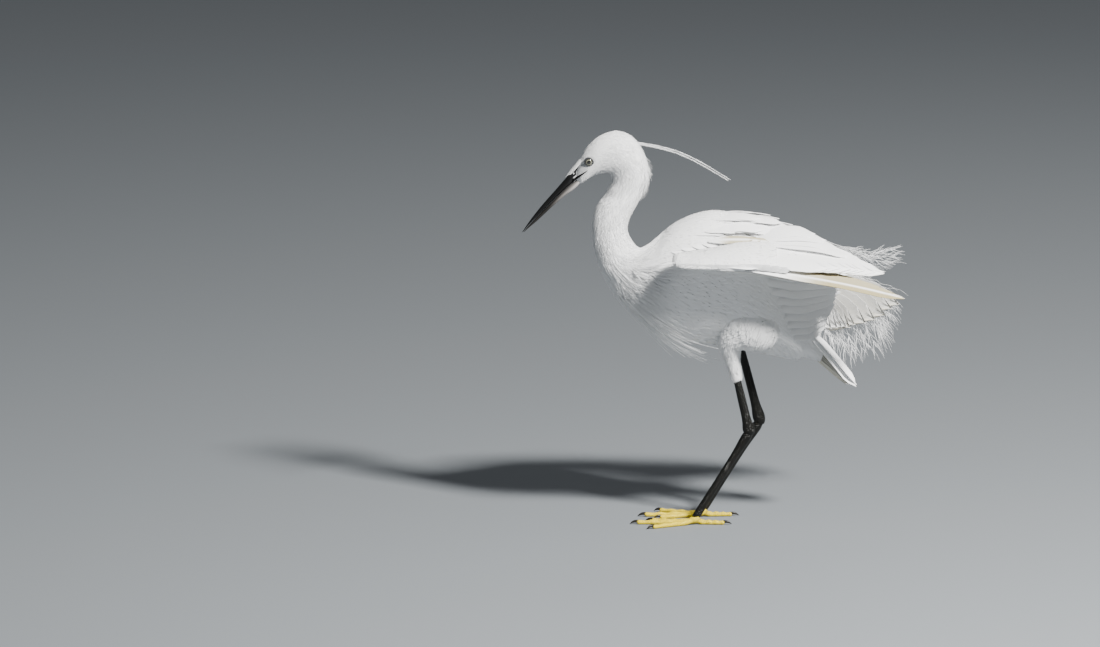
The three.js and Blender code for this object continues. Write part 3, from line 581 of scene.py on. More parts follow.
# Sizes of the short feathers along the body: [section, length, width].
FEATHER_SIZES = vec(
    [0, 2.2, 0.9],
    [2, 3.6, 1.2],
    [5, 6.5, 1.6],
    [8, 9.5, 1.9],
    [12, 11, 2.3],
    [14.5, 14, 3.2],
    [17, 19, 5.5],
    [20, 22, 7],
    [24, 18, 6],
    [28, 15, 5],
)
# Where the zones of the coat start and end, and the rows and columns of their feathers.
BODY_ZONES = (
    ("face_feathers", 0.9, CROWN_START, 3, 3),
    ("crown_feathers", CROWN_START, HEAD_END, 3, 3),
    ("neck_feathers", HEAD_END, NECK_END, 4, 3),
    ("mantle_feathers", NECK_END, RUMP_START, 5, 5),
    ("rump_feathers", RUMP_START, LAST - 0.6, 5, 5),
)
# Loose barbs: how many, their sections and angles, and their length, width and rise.
BODY_DOWN = (
    ("head_down", 2600, (3.6, HEAD_END + 0.4), (0, TURN), 6, 0.3, 0.9),
    ("nape_wisps", 150, (6.0, 8.6), (-0.7, 0.7), 13, 0.5, 4.0),
    ("neck_down", 4200, (HEAD_END, NECK_END), (0, TURN), 9, 0.32, 1.0),
    ("breast_tips_0", 230, (14.4, 16.6), (math.pi + 0.5, math.pi + 1.75), 26, 1.3, 6.5),
    ("breast_tips_2", 230, (14.4, 16.6), (math.pi - 1.75, math.pi - 0.5), 26, 1.3, 6.5),
    ("throat_wisps", 260, (5.4, 8.0), (math.pi - 0.8, math.pi + 0.8), 7, 0.35, 1.8),
)
# The way between rows as a share of a feather's length, and between neighbours as a share of its width.
ROW_SHARE, GAP_SHARE = 0.3, 0.56
# No feather starts this near to the middle of an eye.
EYE_CLEARANCE = 4.6
# The bare skin between bill and eye: [x, z of its middle, half height].
LORE_LINE = vec([-141, 351, 7], [-136, 355, 5.6], [-131, 359.5, 4.2], [-127, 362.5, 2.6], [-122, 366, 0])


def off_bare_skin(roots):
    """Keeps roots off the eyes, and off the skin between them and the bill."""
    x, _, z = body_point(roots[:, 0], roots[:, 1]).T
    off_eye = np.hypot(x - EYE[0], z - EYE[2]) >= EYE_CLEARANCE
    off_lores = np.abs(z - read(LORE_LINE, x)) > read(LORE_LINE, x, 2)
    return roots[off_eye & off_lores]


def body_coat():
    bake = unwrap(0.02, 0.46, last=LAST)
    for name, start, end, rows, columns in BODY_ZONES:
        roots = rows_of_roots(
            body_point,
            start,
            end,
            lambda s: ROW_SHARE * read(FEATHER_SIZES, s),
            lambda s: GAP_SHARE * read(FEATHER_SIZES, s, 2),
        )
        if end <= HEAD_END:
            roots = off_bare_skin(roots)
        s = roots[:, 0]
        vary = 1 + 0.12 * rng.standard_normal(len(s))
        lengths, widths = read(FEATHER_SIZES, s) * vary, read(FEATHER_SIZES, s, 2) * vary
        depth = read(COAT_DEPTH, s)[:, None, None]
        lift = (-depth + 0.2, -0.25 * depth + 0.16 * rng.random(len(s))[:, None, None])
        coat(name, body_point, roots, lengths, widths, lift, bake, rows, columns)
    for name, count, *spans_and_sizes in BODY_DOWN:
        down(name, body_point, count, *spans_and_sizes, bake)


# Thighs: [x, y, z, half width across, half width fore and aft] from the hip down.
THIGHS = {
    NEAR: vec(
        [54, -18, 224, 15, 26],
        [43, -25, 211, 20, 31],
        [34, -29.5, 202, 19.5, 30],
        [22.5, -29, 193, 15, 21.5],
        [16.5, -27, 184, 11.2, 13.4],
        [17, -24, 172, 8.2, 8.8],
        [20, -22, 159, 5.9, 6.4],
        [23.2, -20.6, 146, 4.6, 4.8],
    ),
    FAR: vec(
        [50, 22, 226, 17, 26],
        [41, 27, 212, 20, 31],
        [35, 29, 203, 19, 29],
        [28, 28, 192, 14, 18],
        [25, 26, 183, 10.4, 12],
        [26, 24, 176, 7.4, 8],
        [28, 22.8, 169, 5.4, 5.8],
    ),
}
THIGH_COAT_DEPTH = 1.4
SKIN_VOXEL = 1.3


def thigh_coat(side, name):
    surface = limb_surface(THIGHS[side], vec(1, 0, 0))
    roots = rows_of_roots(surface, 0.06, 0.97, lambda s: mix(4.6, 2.4, s), lambda s: mix(3.0, 1.1, s))
    lengths = mix(16, 8, roots[:, 0]) * (1 + 0.15 * rng.standard_normal(len(roots)))
    widths = mix(5.5, 2.2, roots[:, 0])
    lift = (-THIGH_COAT_DEPTH, 0.1 + 0.2 * rng.random(len(roots))[:, None, None])
    bake = unwrap(0.55 if side == NEAR else 0.75, 0.15, 0.03, 0.2)
    coat(name, surface, roots, lengths, widths, lift, bake, 5, 3)
    down(name + "_down", surface, 900, (0.3, 0.96), (0, TURN), 8, 0.35, 1.6, bake)


def flesh():
    """One skin over head, neck, body and thighs, with no seams."""
    parts = [surface_loft(skin_surface, 0, LAST - 0.3, 110, 48)]
    for stations in THIGHS.values():
        surface = limb_surface(stations, vec(1, 0, 0))
        parts.append(surface_loft(surface, 0.0, 1.0, 20, 24, -THIGH_COAT_DEPTH))
    made = joined("skin", parts, SKIN_WHITE)
    remesh = made.modifiers.new("one_skin", "REMESH")
    remesh.mode = "VOXEL"
    remesh.voxel_size = SKIN_VOXEL * MM
    remesh.use_smooth_shade = True
    settle = made.modifiers.new("settle", "SMOOTH")
    settle.iterations = 4
    nodes = ("head", "neck_upper", "neck_lower", "torso", "mantle", "left_thigh", "right_thigh")
    return piece(made, "white_plumage", *nodes)


# Long feathers with a shaft and two vanes

# How far a vane is hollow below, as a share of its width.
CUP = 0.025


def long_feather(
    rows, columns, root, tip, normal, width, bow=0, sweep=0, tilt=0, pointed=0, tint=(0, 0), under=0
):
    """The top and bottom grids and the tints of one feather.

    bow and sweep bend it up and sideways, tilt turns it on its shaft and pointed sharpens its tip. tint is how
    much painted tan shade its inner and outer vanes get, and the last argument paints more of that shade on
    its lower face.
    """
    t = np.linspace(0, 1, rows)[:, None]
    c = np.linspace(-1, 1, columns)
    chord = tip - root
    side = unit(np.cross(chord, unit(normal)))
    out = unit(np.cross(side, chord))
    arch = 4 * t * (1 - t)
    line = root + chord * t + out * (bow * arch)
    line = line + side * (sweep * arch)
    tangent = unit(np.gradient(line, axis=0))
    flat = unit(np.cross(tangent, out))
    up = unit(np.cross(flat, tangent))
    across = flat * math.cos(tilt) + up * math.sin(tilt)
    level = up * math.cos(tilt) - flat * math.sin(tilt)
    rounded = np.clip(0.3 + 2.2 * t, 0, 1) * np.sqrt(np.clip((1 - t) * 6.5, 0, 1))
    tapered = np.clip(0.25 + 2 * t, 0, 1) * np.clip((1 - t) * 1.7, 0, 1) ** 0.8
    half = width / 2 * np.maximum(mix(rounded, tapered, pointed), 0.04)
    wave = 0.15 * np.sin(t * 9 + c * 2 + rng.uniform(0, 6)) * t
    height = wave - CUP * width * c**2
    shaft = 0.35 * np.exp(-((c / 0.12) ** 2)) * (1 - 0.8 * t)
    thick = 0.18 + 0.12 * (1 - t)
    back = -0.06 * width * c**2 * t
    centre = line[:, None] + across[:, None] * (c * half)[..., None] + tangent[:, None] * back[..., None]
    top = centre + level[:, None] * (height + thick + shaft)[..., None]
    low = centre + level[:, None] * (height - thick - shaft * 0.6)[..., None]
    # Painted tan shade: it grows away from the root, follows tint across the vanes and leaves the shaft white.
    # The lower face gets extra painted shade on top.
    shade = mix(*tint, (c + 1) / 2) * np.clip(t * 4 - 0.8, 0, 1)
    shade = shade * (1 - np.exp(-((c / 0.1) ** 2)))
    return top, low, np.clip(np.stack([shade, shade + under]), 0, 1)


def vane_piece(name, specs, rows=13, columns=7, nodes=()):
    """One object of long feathers, each from its settings."""
    tops, lows, tints = map(np.array, zip(*(long_feather(rows, columns, **spec) for spec in specs)))
    maps = cell_maps(len(specs), rows, columns)
    return feather_piece(name, tops, lows, maps, FLIGHT_PLUMAGE, tints, nodes)


# Wings. Curves run from the front of a wing to its rear, as in the solids.


def curve(*places):
    stations = vec(*places)
    lengths = np.linalg.norm(np.diff(stations, axis=0), axis=-1)
    knots = np.concatenate([[0], np.cumsum(lengths)]) / lengths.sum()

    def point(t):
        t = np.asarray(t, float)
        return smooth(stations, np.interp(t, knots, np.linspace(0, 1, len(stations))))

    return point


NEAR_WING = {
    "side": NEAR,
    "up": vec(0, -0.3, 0.95),
    "shoulder": vec(-26, -30, 262),
    "elbow": vec(46, -48, 283),
    "wrist": vec(-22, -77, 278.5),
    "hand": vec(28, -96, 273),
    "outer": curve([-43, -78, 277], [-36, -90, 273], [-8, -98, 273], [30, -99, 273.5], [62, -97, 270]),
    "inner": curve([-42, -64, 280], [-26, -54, 281], [0, -49, 285], [28, -45, 290], [60, -37, 291]),
    "primary_roots": curve([-8, -88, 273], [12, -92, 272], [36, -96, 271]),
    "primary_tips": curve([150, -72, 255], [172, -80, 249], [189, -88, 243]),
    "primary_normal": vec(0.1, -0.45, 0.89),
    "secondary_roots": curve([44, -50, 285], [8, -70, 280], [-18, -82, 276]),
    "secondary_tips": curve([146, -40, 270], [169, -54, 260], [148, -65, 265], [112, -82, 270]),
    "secondary_normal": vec(0.2, -0.42, 0.88),
    "tertial_roots": curve([42, -34, 290], [44, -48, 286]),
    "tertial_tips": curve([100, -13, 292], [120, -25, 282], [138, -38, 272.5]),
    "tertial_normal": vec(0.15, -0.25, 0.96),
    "alula": (vec(-20, -90, 276), vec(42, -100, 273.5)),
    "widths": {"primary": 19, "secondary": 26, "tertial": 26},
    "counts": {"primary": 10, "secondary": 12, "tertial": 4},
    # How much painted tan shade the primaries' inner and outer vanes get.
    "tint": (0.85, 0.95),
    "ragged": 0.0,
    "tilt": 0.05,
    "bow": 5,
}
FAR_WING = {
    "side": FAR,
    "up": vec(0, 0.75, 0.6),
    "shoulder": vec(-26, 30, 256),
    "elbow": vec(46, 50, 277),
    "wrist": vec(-21, 70, 264),
    "hand": vec(28, 86, 252),
    "outer": curve([-36, 72, 261], [-24, 82, 258], [2, 87, 255], [32, 88, 252], [62, 87, 246]),
    "inner": curve([-34, 58, 268], [-20, 53, 273], [2, 49, 278], [28, 46, 281], [60, 44, 276]),
    "primary_roots": curve([0, 82, 255], [14, 84, 253], [36, 86, 250]),
    "primary_tips": curve([138, 66, 186], [166, 77, 192], [188, 85, 206]),
    "primary_normal": vec(0, 0.95, 0.3),
    "secondary_roots": curve([46, 50, 273], [20, 64, 267], [-10, 78, 258]),
    "secondary_tips": curve([97, 46, 189], [113, 52, 186], [134, 63, 186]),
    "secondary_normal": vec(0, 0.92, 0.38),
    "tertial_roots": curve([46, 42, 278], [46, 49, 275]),
    "tertial_tips": curve([122, 44, 244], [106, 50, 212]),
    "tertial_normal": vec(0.2, 0.85, 0.5),
    "alula": (vec(-18, 84, 257), vec(40, 90, 250)),
    "widths": {"primary": 34, "secondary": 36, "tertial": 32},
    "counts": {"primary": 7, "secondary": 8, "tertial": 4},
    # How much painted tan shade the primaries' inner and outer vanes get.
    "tint": (0.3, 0.0),
    "ragged": 1.0,
    "tilt": 0.04,
    "bow": 6,
}
WING_THICK, WING_CAMBER = 10.5, 3


def wing_surface(w):
    """The wing's fleshy part as a flattened tube: angle 0 is the leading edge, a quarter turn its top."""

    def point(s, a, out=0.0):
        s, a, out = np.broadcast_arrays(s, a, out)
        outer, inner = w["outer"](s), w["inner"](s)
        across = unit(inner - outer)
        ahead = unit(w["outer"](s + NUDGE) - w["outer"](s - NUDGE))
        up = unit(np.cross(ahead, across))
        up = up * np.sign((up * w["up"]).sum(-1, keepdims=True))
        v = (1 - np.cos(a)) / 2
        arch = 4 * v * (1 - v)
        fullness = 0.45 + 0.55 * np.sin(math.pi * mix(0.12, 0.88, np.clip(s, 0, 1)))
        fullness = fullness * np.sqrt(np.clip((s + 0.004) / 0.09, 0, 1) * np.clip((1.01 - s) / 0.3, 0, 1))
        depth = WING_THICK / 2 * fullness * np.sin(a) * (1 - 0.35 * v)
        lie = outer + (inner - outer) * v[..., None]
        lie = lie + up * (WING_CAMBER * arch + depth + out * np.sin(a))[..., None]
        return lie - across * (out * np.cos(a))[..., None]

    return point


def feather_row(w, group, lift, root_lift, count=None, width=None, share=None, shift=0, ragged=0, **looks):
    """A row of one group of a wing's feathers, lifted off the group's lines of roots and tips.

    share ends them part of the way to the tips, shift moves their roots ahead, and ragged shortens every
    second one.
    """
    roots, tips, normal = (w[group + part] for part in ("_roots", "_tips", "_normal"))
    count, width = count or w["counts"][group], width or w["widths"][group]
    up = unit(normal)
    specs = []
    for i, t in enumerate(shares(count)):
        jitter = rng.standard_normal(3)
        root, tip = roots(t), tips(t)
        if share:
            tip = mix(root, tip, share)
        root = root + vec(shift, 0, 0)
        longer = unit(tip - root) * (jitter[1] - ragged * (i % 2))
        settings = {
            "root": root + up * root_lift,
            "tip": tip + up * (lift + 0.3 * jitter[0]) + longer,
            "normal": normal,
            "width": width * mix(1.05, 0.85, t) * (1 + 0.04 * jitter[2]),
            "tilt": -w["side"] * w["tilt"],
        }
        specs.append({**looks, **settings})
    return specs


def flight_feathers(w, name):
    bow, ragged = w["bow"], w["ragged"]
    # Primaries and secondaries get painted tan shade, with more of it on their lower faces.
    specs = feather_row(w, "primary", -2, 0, ragged=ragged, bow=bow * 0.8, tint=w["tint"], under=0.25)
    specs += feather_row(w, "secondary", 1, 1, ragged=ragged, bow=bow, sweep=-2 * w["side"], under=0.15)
    specs += feather_row(w, "tertial", 2, 3, bow=bow + 1)
    root, tip = w["alula"]
    specs.append(dict(root=root, tip=tip, normal=w["up"], width=10, bow=1.5))
    vane_piece(name + "_flight_feathers", specs, nodes=(name,))


# Rows of coverts over and under a wing: count, share of the secondaries' way, width, lifts and shift.
COVERT_ROWS = ((13, 0.52, 21, 1.4, 2.4, 0), (12, 0.34, 19, 2.0, 3, -6), (12, 0.42, 18, -5.5, -3.5, 0))
EDGE_COVERTS = 13


def long_coverts(w, name):
    side = w["side"]
    specs = []
    for count, share, width, lift, root_lift, shift in COVERT_ROWS:
        lift += w["bow"]
        specs += feather_row(w, "secondary", lift, root_lift, count, width, share, shift, bow=1)
    for t in np.linspace(0.08, 0.92, EDGE_COVERTS):
        edge = w["outer"](t)
        root = edge + vec(-2, -side, 2)
        tip = edge + vec(19, 0.6 * side, 1.2 + 0.7 * rng.standard_normal())
        specs.append(dict(root=root, tip=tip, normal=vec(0, side, -0.3), width=6.5, bow=1.2))
    vane_piece(name + "_greater_coverts", specs, 9, 5)


def short_coverts(w, name, surface):
    roots = rows_of_roots(surface, 0.0, 0.93, lambda s: mix(2.6, 6.0, s), lambda s: mix(2.6, 4.2, s))
    s = roots[:, 0]
    lengths = mix(8, 20, s) * (1 + 0.12 * rng.standard_normal(len(s)))
    lift = (-0.3, 0.9 + 0.15 * rng.random(len(s))[:, None, None])
    bake = unwrap(0.02 if w["side"] == NEAR else 0.52, 0.46)
    coat(name + "_coverts", surface, roots, lengths, mix(4.4, 8.5, s), lift, bake, 5, 5, 0.03)


# The bones of a wing: where each starts and ends, and its radii there.
WING_BONES = (("shoulder", "elbow", 8, 6), ("elbow", "wrist", 6, 5), ("wrist", "hand", 5.5, 3))


def wing(w, name):
    surface = wing_surface(w)
    flight_feathers(w, name)
    long_coverts(w, name)
    short_coverts(w, name, surface)
    parts = [surface_loft(surface, 0.0, 1.0, 30, 32, -0.4)]
    for first, second, thick, thin in WING_BONES:
        start, end = w[first], w[second]
        middle = [*mix(start, end, 0.5), (thick + thin) / 2 - 0.3, 5]
        stations = vec([*start, thick, thick], middle, [*end, thin, thin])
        parts.append(surface_loft(limb_surface(stations, vec(0, 0, 1)), 0, 1, 8, 16))
    piece(joined(name + "_skin", parts, SKIN_WHITE), "white_plumage")


# Loose plumes


def barbed_plume(stations, normal, barbs, length, start, width, spread, droop=0.0, barb_width=0.42):
    """A shaft and its loose barbs, as arguments of strands."""
    shaft = smooth(stations, np.linspace(0, 1, 7))[None]
    t = np.sort(rng.uniform(start, 0.98, barbs))
    root = smooth(stations, t)
    tangent = heading(stations, t)
    normal = unit(vec(*normal))
    across = unit(np.cross(tangent, normal)) * rng.choice([-1, 1], barbs)[:, None]
    size = (length * mix(1, 0.55, t) * (1 + 0.25 * rng.standard_normal(barbs)))[:, None]
    lean = spread * (1 + 0.3 * rng.standard_normal(barbs))[:, None]
    wild = rng.standard_normal((barbs, 3)) * 0.2 * spread
    one = root + (tangent * 0.35 + across * lean * 0.42 + wild * 0.3) * size
    two = root + (tangent * 0.7 + across * lean * 0.7 + wild) * size
    three = root + (tangent + across * lean * 0.8 + wild * 1.6 + vec(0, 0, -droop)) * size
    side = np.stack([root, one, two, three], 1)
    normals = np.broadcast_to(normal, (barbs, 3))
    return [
        (shaft, np.full(1, width), normal[None], 7, 0.25, 0.5),
        (side, np.full(barbs, barb_width), normals, 7, 0.3, 0.2),
    ]


NAPE_PLUMES = [
    vec([-84, -1.6, 385], [-62, -2.2, 381.6], [-38, -2.4, 375.6], [-14, -2.2, 364.6], [12.4, -2, 348.6]),
    vec([-84, 1.8, 383], [-62, 2.2, 379.4], [-38, 2.2, 372.8], [-15, 2.0, 362], [10, 2, 347.4]),
]


def nape_plumes():
    groups = []
    for stations in NAPE_PLUMES:
        groups += barbed_plume(stations, (0.15, 0.8, 0.55), 320, 8, 0.03, 1.6, 0.07)
    strand_piece("nape_plumes", groups, vec(0.9, 0.9))


UPSWEPT_PLUMES = [
    vec([14, 0, 299], [66, 6, 300], [118, 5, 281], [150, 3, 272], [181, 4, 275]),
    vec([12, 4, 299], [60, 10, 299], [112, 9, 280], [148, 7, 266], [179, 2, 262]),
    vec([10, 8, 298], [54, 15, 299], [104, 15, 282], [142, 13, 262], [174, 9, 254]),
    vec([14, 2, 298], [64, 8, 299], [114, 7, 280], [149, 5, 269], [181, 3, 268]),
    vec([14, 5, 298], [60, 11, 298], [108, 11, 279], [142, 9, 266], [166, 6, 272]),
]
FRINGE_TIPS = curve(
    [104, 60, 186], [125, 70, 167], [147, 80, 158], [167, 86, 166], [177, 90, 184], [180, 92, 203]
)
FRINGE_PLUMES = 17


def back_plumes():
    groups = []
    for stations in UPSWEPT_PLUMES:
        groups += barbed_plume(stations, (0.1, 1, 0.15), 46, 15, 0.55, 0.6, 0.4, barb_width=0.3)
    strand_piece("upswept_plumes", groups, vec(0.2, 0.6))
    groups = []
    for t in shares(FRINGE_PLUMES):
        tip = FRINGE_TIPS(t) + rng.standard_normal(3) * 1.5
        stations = vec(
            [mix(2, 26, t), mix(16, 21, t), 296],
            [mix(34, 64, t), mix(45, 47, t), mix(302, 298, t)],
            [mix(62, 112, t), mix(84, 94, t), mix(268, 258, t)],
            [mix(86, 160, t), mix(82, 95, t), mix(222, 224, t)],
            tip,
        )
        groups += barbed_plume(stations, (0, 0.92, 0.38), 56, 24, 0.6, 0.6, 0.4, 0.1, 0.28)
    strand_piece("fringe_plumes", groups, vec(0.25, 0.66))


BREAST_PLUMES = 190


def breast_plumes():
    """Long narrow plumes that start on the foreneck and hang free below the belly."""
    t = rng.random(BREAST_PLUMES) ** 0.8
    side = rng.choice([-1, 1], BREAST_PLUMES)
    a = math.pi - side * mix(0.0, 1.25, t) + 0.05 * rng.standard_normal(BREAST_PLUMES)
    start = mix(13.2, 14.6, t) + 0.4 * rng.standard_normal(BREAST_PLUMES)
    reach = mix(19.4, 17.4, t) + 0.5 * rng.standard_normal(BREAST_PLUMES)
    u = np.linspace(0, 1, 6)
    free = mix(16, 3, t) * (0.5 + 0.9 * rng.random(BREAST_PLUMES))
    out = vec(-1.2, 0.5, 0.9, 1.2, 2.0, 0)[None] + free[:, None] * u**4
    paths = body_point(start[:, None] + (reach - start)[:, None] * u, a[:, None] + np.zeros(6), out)
    normals = unit(body_point(17.0 + 0 * a, a, 1.0) - body_point(17.0 + 0 * a, a, 0.0))
    widths = rng.uniform(0.7, 1.5, BREAST_PLUMES)
    strand_piece("breast_plumes", [(paths, widths, normals, 12, 0.1, 0.3)], vec(0.3, 0.55))


# Scapulars, flank and tail

# Rows of scapulars: first and last section, then the angles, lengths, rises and spreads from first to last.
SCAPULAR_ROWS = (
    (16.9, 20.6, (0.86, 0.7), (38, 46), (-3, -11), (11, 5)),
    (17.2, 21.0, (0.56, 0.42), (42, 52), (0, -10), (9, 4)),
    (17.6, 21.0, (0.26, 0.12), (44, 51), (2, -5), (5, 2)),
)
# The last count is of narrow feathers in painted tan shade, laid in the shaded gap between the scapulars and
# the left wing.
SCAPULARS_PER_ROW, PAINTED_SHADE_SCAPULARS = 9, 3


def scapulars():
    specs = []
    for side in (-1, 1):
        for row, (first, last, angles, lengths, rises, spreads) in enumerate(SCAPULAR_ROWS):
            shared = {"width": 21, "bow": 3, "tilt": -side * 0.03, "pointed": 0.35}
            normal = vec(-0.1, side * mix(0.55, 0.2, row / 2), 0.9)
            for t in shares(SCAPULARS_PER_ROW):
                root = body_point(mix(first, last, t), side * mix(*angles, t), -5)
                way = vec(mix(*lengths, t), side * mix(*spreads, t), mix(*rises, t))
                tip = root + way + rng.standard_normal(3) * 0.8
                specs.append(dict(root=root, tip=tip, normal=normal, **shared))
    # Narrow feathers in painted tan shade fill the shaded gap where the scapulars meet the left wing.
    for i in range(PAINTED_SHADE_SCAPULARS):
        root, tip = vec(-6 + 8 * i, -41, 291 - i), vec(38 + 8 * i, -48 + i, 293.5 - i)
        specs.append(dict(root=root, tip=tip, normal=vec(0, -0.7, 0.7), width=9, bow=1.5, tint=(0.8, 0.8)))
    vane_piece("scapulars", specs, 11, 5)


FLANK_PLUMES = 11


def flank_plumes():
    """Soft long feathers that carry the flank on below the left wing."""
    shared = {"normal": vec(0.15, -0.9, 0.4), "width": 20, "bow": 5, "tilt": 0.03, "pointed": 0.5}
    specs = []
    for t in shares(FLANK_PLUMES):
        root = body_point(mix(20.5, 23.2, t), -mix(0.95, 1.8, t), -2.5)
        tip = vec(mix(140, 112, t), mix(-6, -4, t), mix(262, 203, t)) + rng.standard_normal(3)
        specs.append(dict(root=root, tip=tip, **shared))
    vane_piece("flank_plumes", specs, 11, 5)


TAIL_FEATHERS = 12
TAIL_HALF_WIDTH, TAIL_TENT = 21, 3
TAIL_ROOT, TAIL_TIP, TAIL_UP = vec(86, 0, 197), vec(141, 0, 135.5), vec(0.74, 0, 0.67)


def tail():
    """Tail feathers that overlap like a low tent, and one more along the left edge."""
    specs = []
    chord = unit(TAIL_TIP - TAIL_ROOT)
    for t in shares(TAIL_FEATHERS):
        tent = TAIL_TENT * math.sin(math.pi * t)
        across = vec(0, mix(-1, 1, t) * TAIL_HALF_WIDTH, 0)
        root = TAIL_ROOT + across * 0.3 + TAIL_UP * (mix(5, -15, t) + tent)
        tip = TAIL_TIP + across + TAIL_UP * (mix(5, -6, t) + tent) - chord * 5 * abs(2 * t - 1)
        slope = -11 / (2 * TAIL_HALF_WIDTH) + 0.4 * math.cos(math.pi * t)
        # Painted tan shade on the lower faces, heavier on all but the left-side feathers.
        tilt, under = 0.2 if t < 0.5 else -0.2, 0.55 if t > 0.25 else 0.1
        normal = TAIL_UP + vec(0, -slope, 0)
        specs.append(dict(root=root, tip=tip, normal=normal, width=13.5, bow=1, tilt=tilt, under=under))
    root, tip = vec(89.5, -7.5, 200), vec(142, -21.5, 140)
    specs.append(dict(root=root, tip=tip, normal=vec(0.5, -0.72, 0.48), width=13, bow=1, sweep=-1))
    vane_piece("tail_feathers", specs, nodes=("tail",))


# Bill, eyes and face

# Both halves of the bill, from its base: [back x, back z, front x, front z, half width].
UPPER_BILL = vec(
    [-131, 362, -128.5, 354.5, 4.0],
    [-139.5, 358.6, -140, 344.6, 5.3],
    [-148, 348.3, -149.6, 336.2, 5],
    [-158.5, 336, -160.5, 325.8, 4.1],
    [-172.5, 319.9, -174.8, 311.4, 3.1],
    [-184, 305, -185.5, 300.2, 1.9],
    [-191.6, 293.6, -191.2, 293.2, 0.45],
)
LOWER_BILL = vec(
    [-129.5, 353.2, -131, 346, 4.4],
    [-140.4, 343.9, -140.5, 336.4, 5.5],
    [-150, 335.5, -150.6, 329, 4.7],
    [-160.9, 325.1, -162.2, 318.6, 3.8],
    [-175.2, 310.7, -176.6, 305, 2.7],
    [-185.6, 299.5, -186, 297, 1.5],
    [-190.2, 293.6, -190, 293.1, 0.45],
)


# The grooves and nostrils of the upper bill: how deep they are, and how wide in radians.
GROOVE, NOSTRIL = (0.5, 0.2), (1.1, 0.13)
NOSTRIL_PLACE = 0.22


def bill(name, profile, material, slot, grooved, tint_end):
    """One half of the bill, tinted from its base. Only the upper one is grooved."""
    t, a = tube_grid(0, 1, 90, 40)
    carve = np.zeros_like(t)
    if grooved:
        for side in (-1, 1):
            away = wrapped(a - side * math.pi * mix(0.36, 0.45, t))
            groove, nostril = (deep * np.exp(-((away / wide) ** 2)) for deep, wide in (GROOVE, NOSTRIL))
            carve += groove * np.clip((0.75 - t) * 4, 0, 1) * np.clip(t * 8, 0, 1)
            carve += nostril * bump(t, NOSTRIL_PLACE, 0.045)
    points, quads = loft(oval(profile, t, a, -carve * 0.3, -carve))
    shade = np.clip(1 - t / tint_end, 0, 1) ** 1.2 * (0.35 + 0.65 * np.clip(0.4 - np.cos(a), 0, 1))
    shade = np.concatenate([shade[:1], shade, shade[-1:]])
    piece(add_mesh(name, points, quads, material, tint=shade), slot, name)


def eyes():
    for side, name in ((NEAR, "left_eye"), (FAR, "right_eye")):
        s, a = tube_grid(0.01, math.pi - 0.01, 26, 40)
        rings = np.stack([np.sin(s) * np.cos(a), np.cos(s), np.sin(s) * np.sin(a)], -1) * EYE_RADIUS
        made = add_mesh(name + "ball", *loft(rings), EYE_GLOSS)
        made.location = Vector(EYE * vec(1, side, 1) * MM)
        piece(made, "eye", name)


LID_RADIUS, LID_THICK, LID_DEPTH = 3.95, 0.62, 13.1
LID_RINGS, LID_SIDES = 48, 12


def lids():
    """The dark bare rim round each eye, thicker above."""
    parts = []
    around = np.arange(LID_RINGS) / LID_RINGS * TURN
    ring, a = np.meshgrid(around, np.arange(LID_SIDES) / LID_SIDES * TURN, indexing="ij")
    tube = LID_THICK + 0.18 * np.sin(ring)
    radius = LID_RADIUS + 0.15 * np.sin(ring) + np.cos(a) * tube
    x = EYE[0] + np.cos(ring) * radius * 1.06
    z = EYE[2] + np.sin(ring) * radius
    depth = LID_DEPTH + 0.14 * (x - EYE[0]) + 0.05 * (EYE[2] - z)
    index = np.arange(LID_RINGS * LID_SIDES).reshape(LID_RINGS, LID_SIDES)
    after = np.roll(index, -1, 0)
    quads = np.stack([index, after, np.roll(after, -1, 1), np.roll(index, -1, 1)], -1).reshape(-1, 4)
    for side in (NEAR, FAR):
        y = side * (depth + np.sin(a) * tube * 0.8)
        parts.append((np.stack([x, y, z], -1).reshape(-1, 3), quads[:, :: -side]))
    piece(joined("eyelids", parts, DARK_RIM), "black_horn")


def side_depth(x, z):
    """How far out the head's side is at x and z, read off the body's surface."""
    s, a = np.meshgrid(np.linspace(0, 6, 160), np.linspace(0, math.pi, 120), indexing="ij")
    places = skin_surface(s, a, 0.3).reshape(-1, 3)
    ways = np.stack([x.ravel(), z.ravel()], -1)[:, None] - places[None, :, ::2]
    nearest = (ways**2).sum(-1).argmin(1)
    return places[nearest, 1].reshape(x.shape)


def face_patch(name, line, x_end, shape, taller, out, depth, fold, material, slot, tint=None):
    """A thin patch on both sides of the face, along a line of [x, z of its middle, half height]."""
    parts = []
    spans = np.linspace(line[0, 0], x_end, shape[0]), np.linspace(-1, 1, shape[1])
    x, v = np.meshgrid(*spans, indexing="ij")
    z = read(line, x) + v * read(line, x, 2) * taller
    y = side_depth(x, z)
    folded = y + out + fold * np.sin(v * 9 + x * 0.5)
    for side in (NEAR, FAR):
        top = np.stack([x, side * folded, z], -1)[None]
        low = np.stack([x, side * (y - depth), z], -1)[None]
        parts.append(sheets(top, low)[:2])
    piece(joined(name, parts, material, tint), slot)


# The line of the mouth on the face: [x, z of its middle, half height].
GAPE_LINE = vec([-141, 346.3, 1.9], [-136, 350.3, 1.3], [-131, 354.1, 0.9], [-126.5, 357.6, 0.25])


def lores():
    """Bare grey skin from the bill's base to the eye."""
    face_patch("lores", LORE_LINE, -121.5, (20, 11), 1.15, 0.05, 1.6, 0.18, BARE_SKIN, "grey_horn")


def gape():
    """The black line of the mouth, which runs on from the bill below the eye."""
    face_patch("gape", GAPE_LINE, -126.5, (16, 5), 1, 1.0, 1.0, 0, BLACK_HORN, "black_horn", 0)


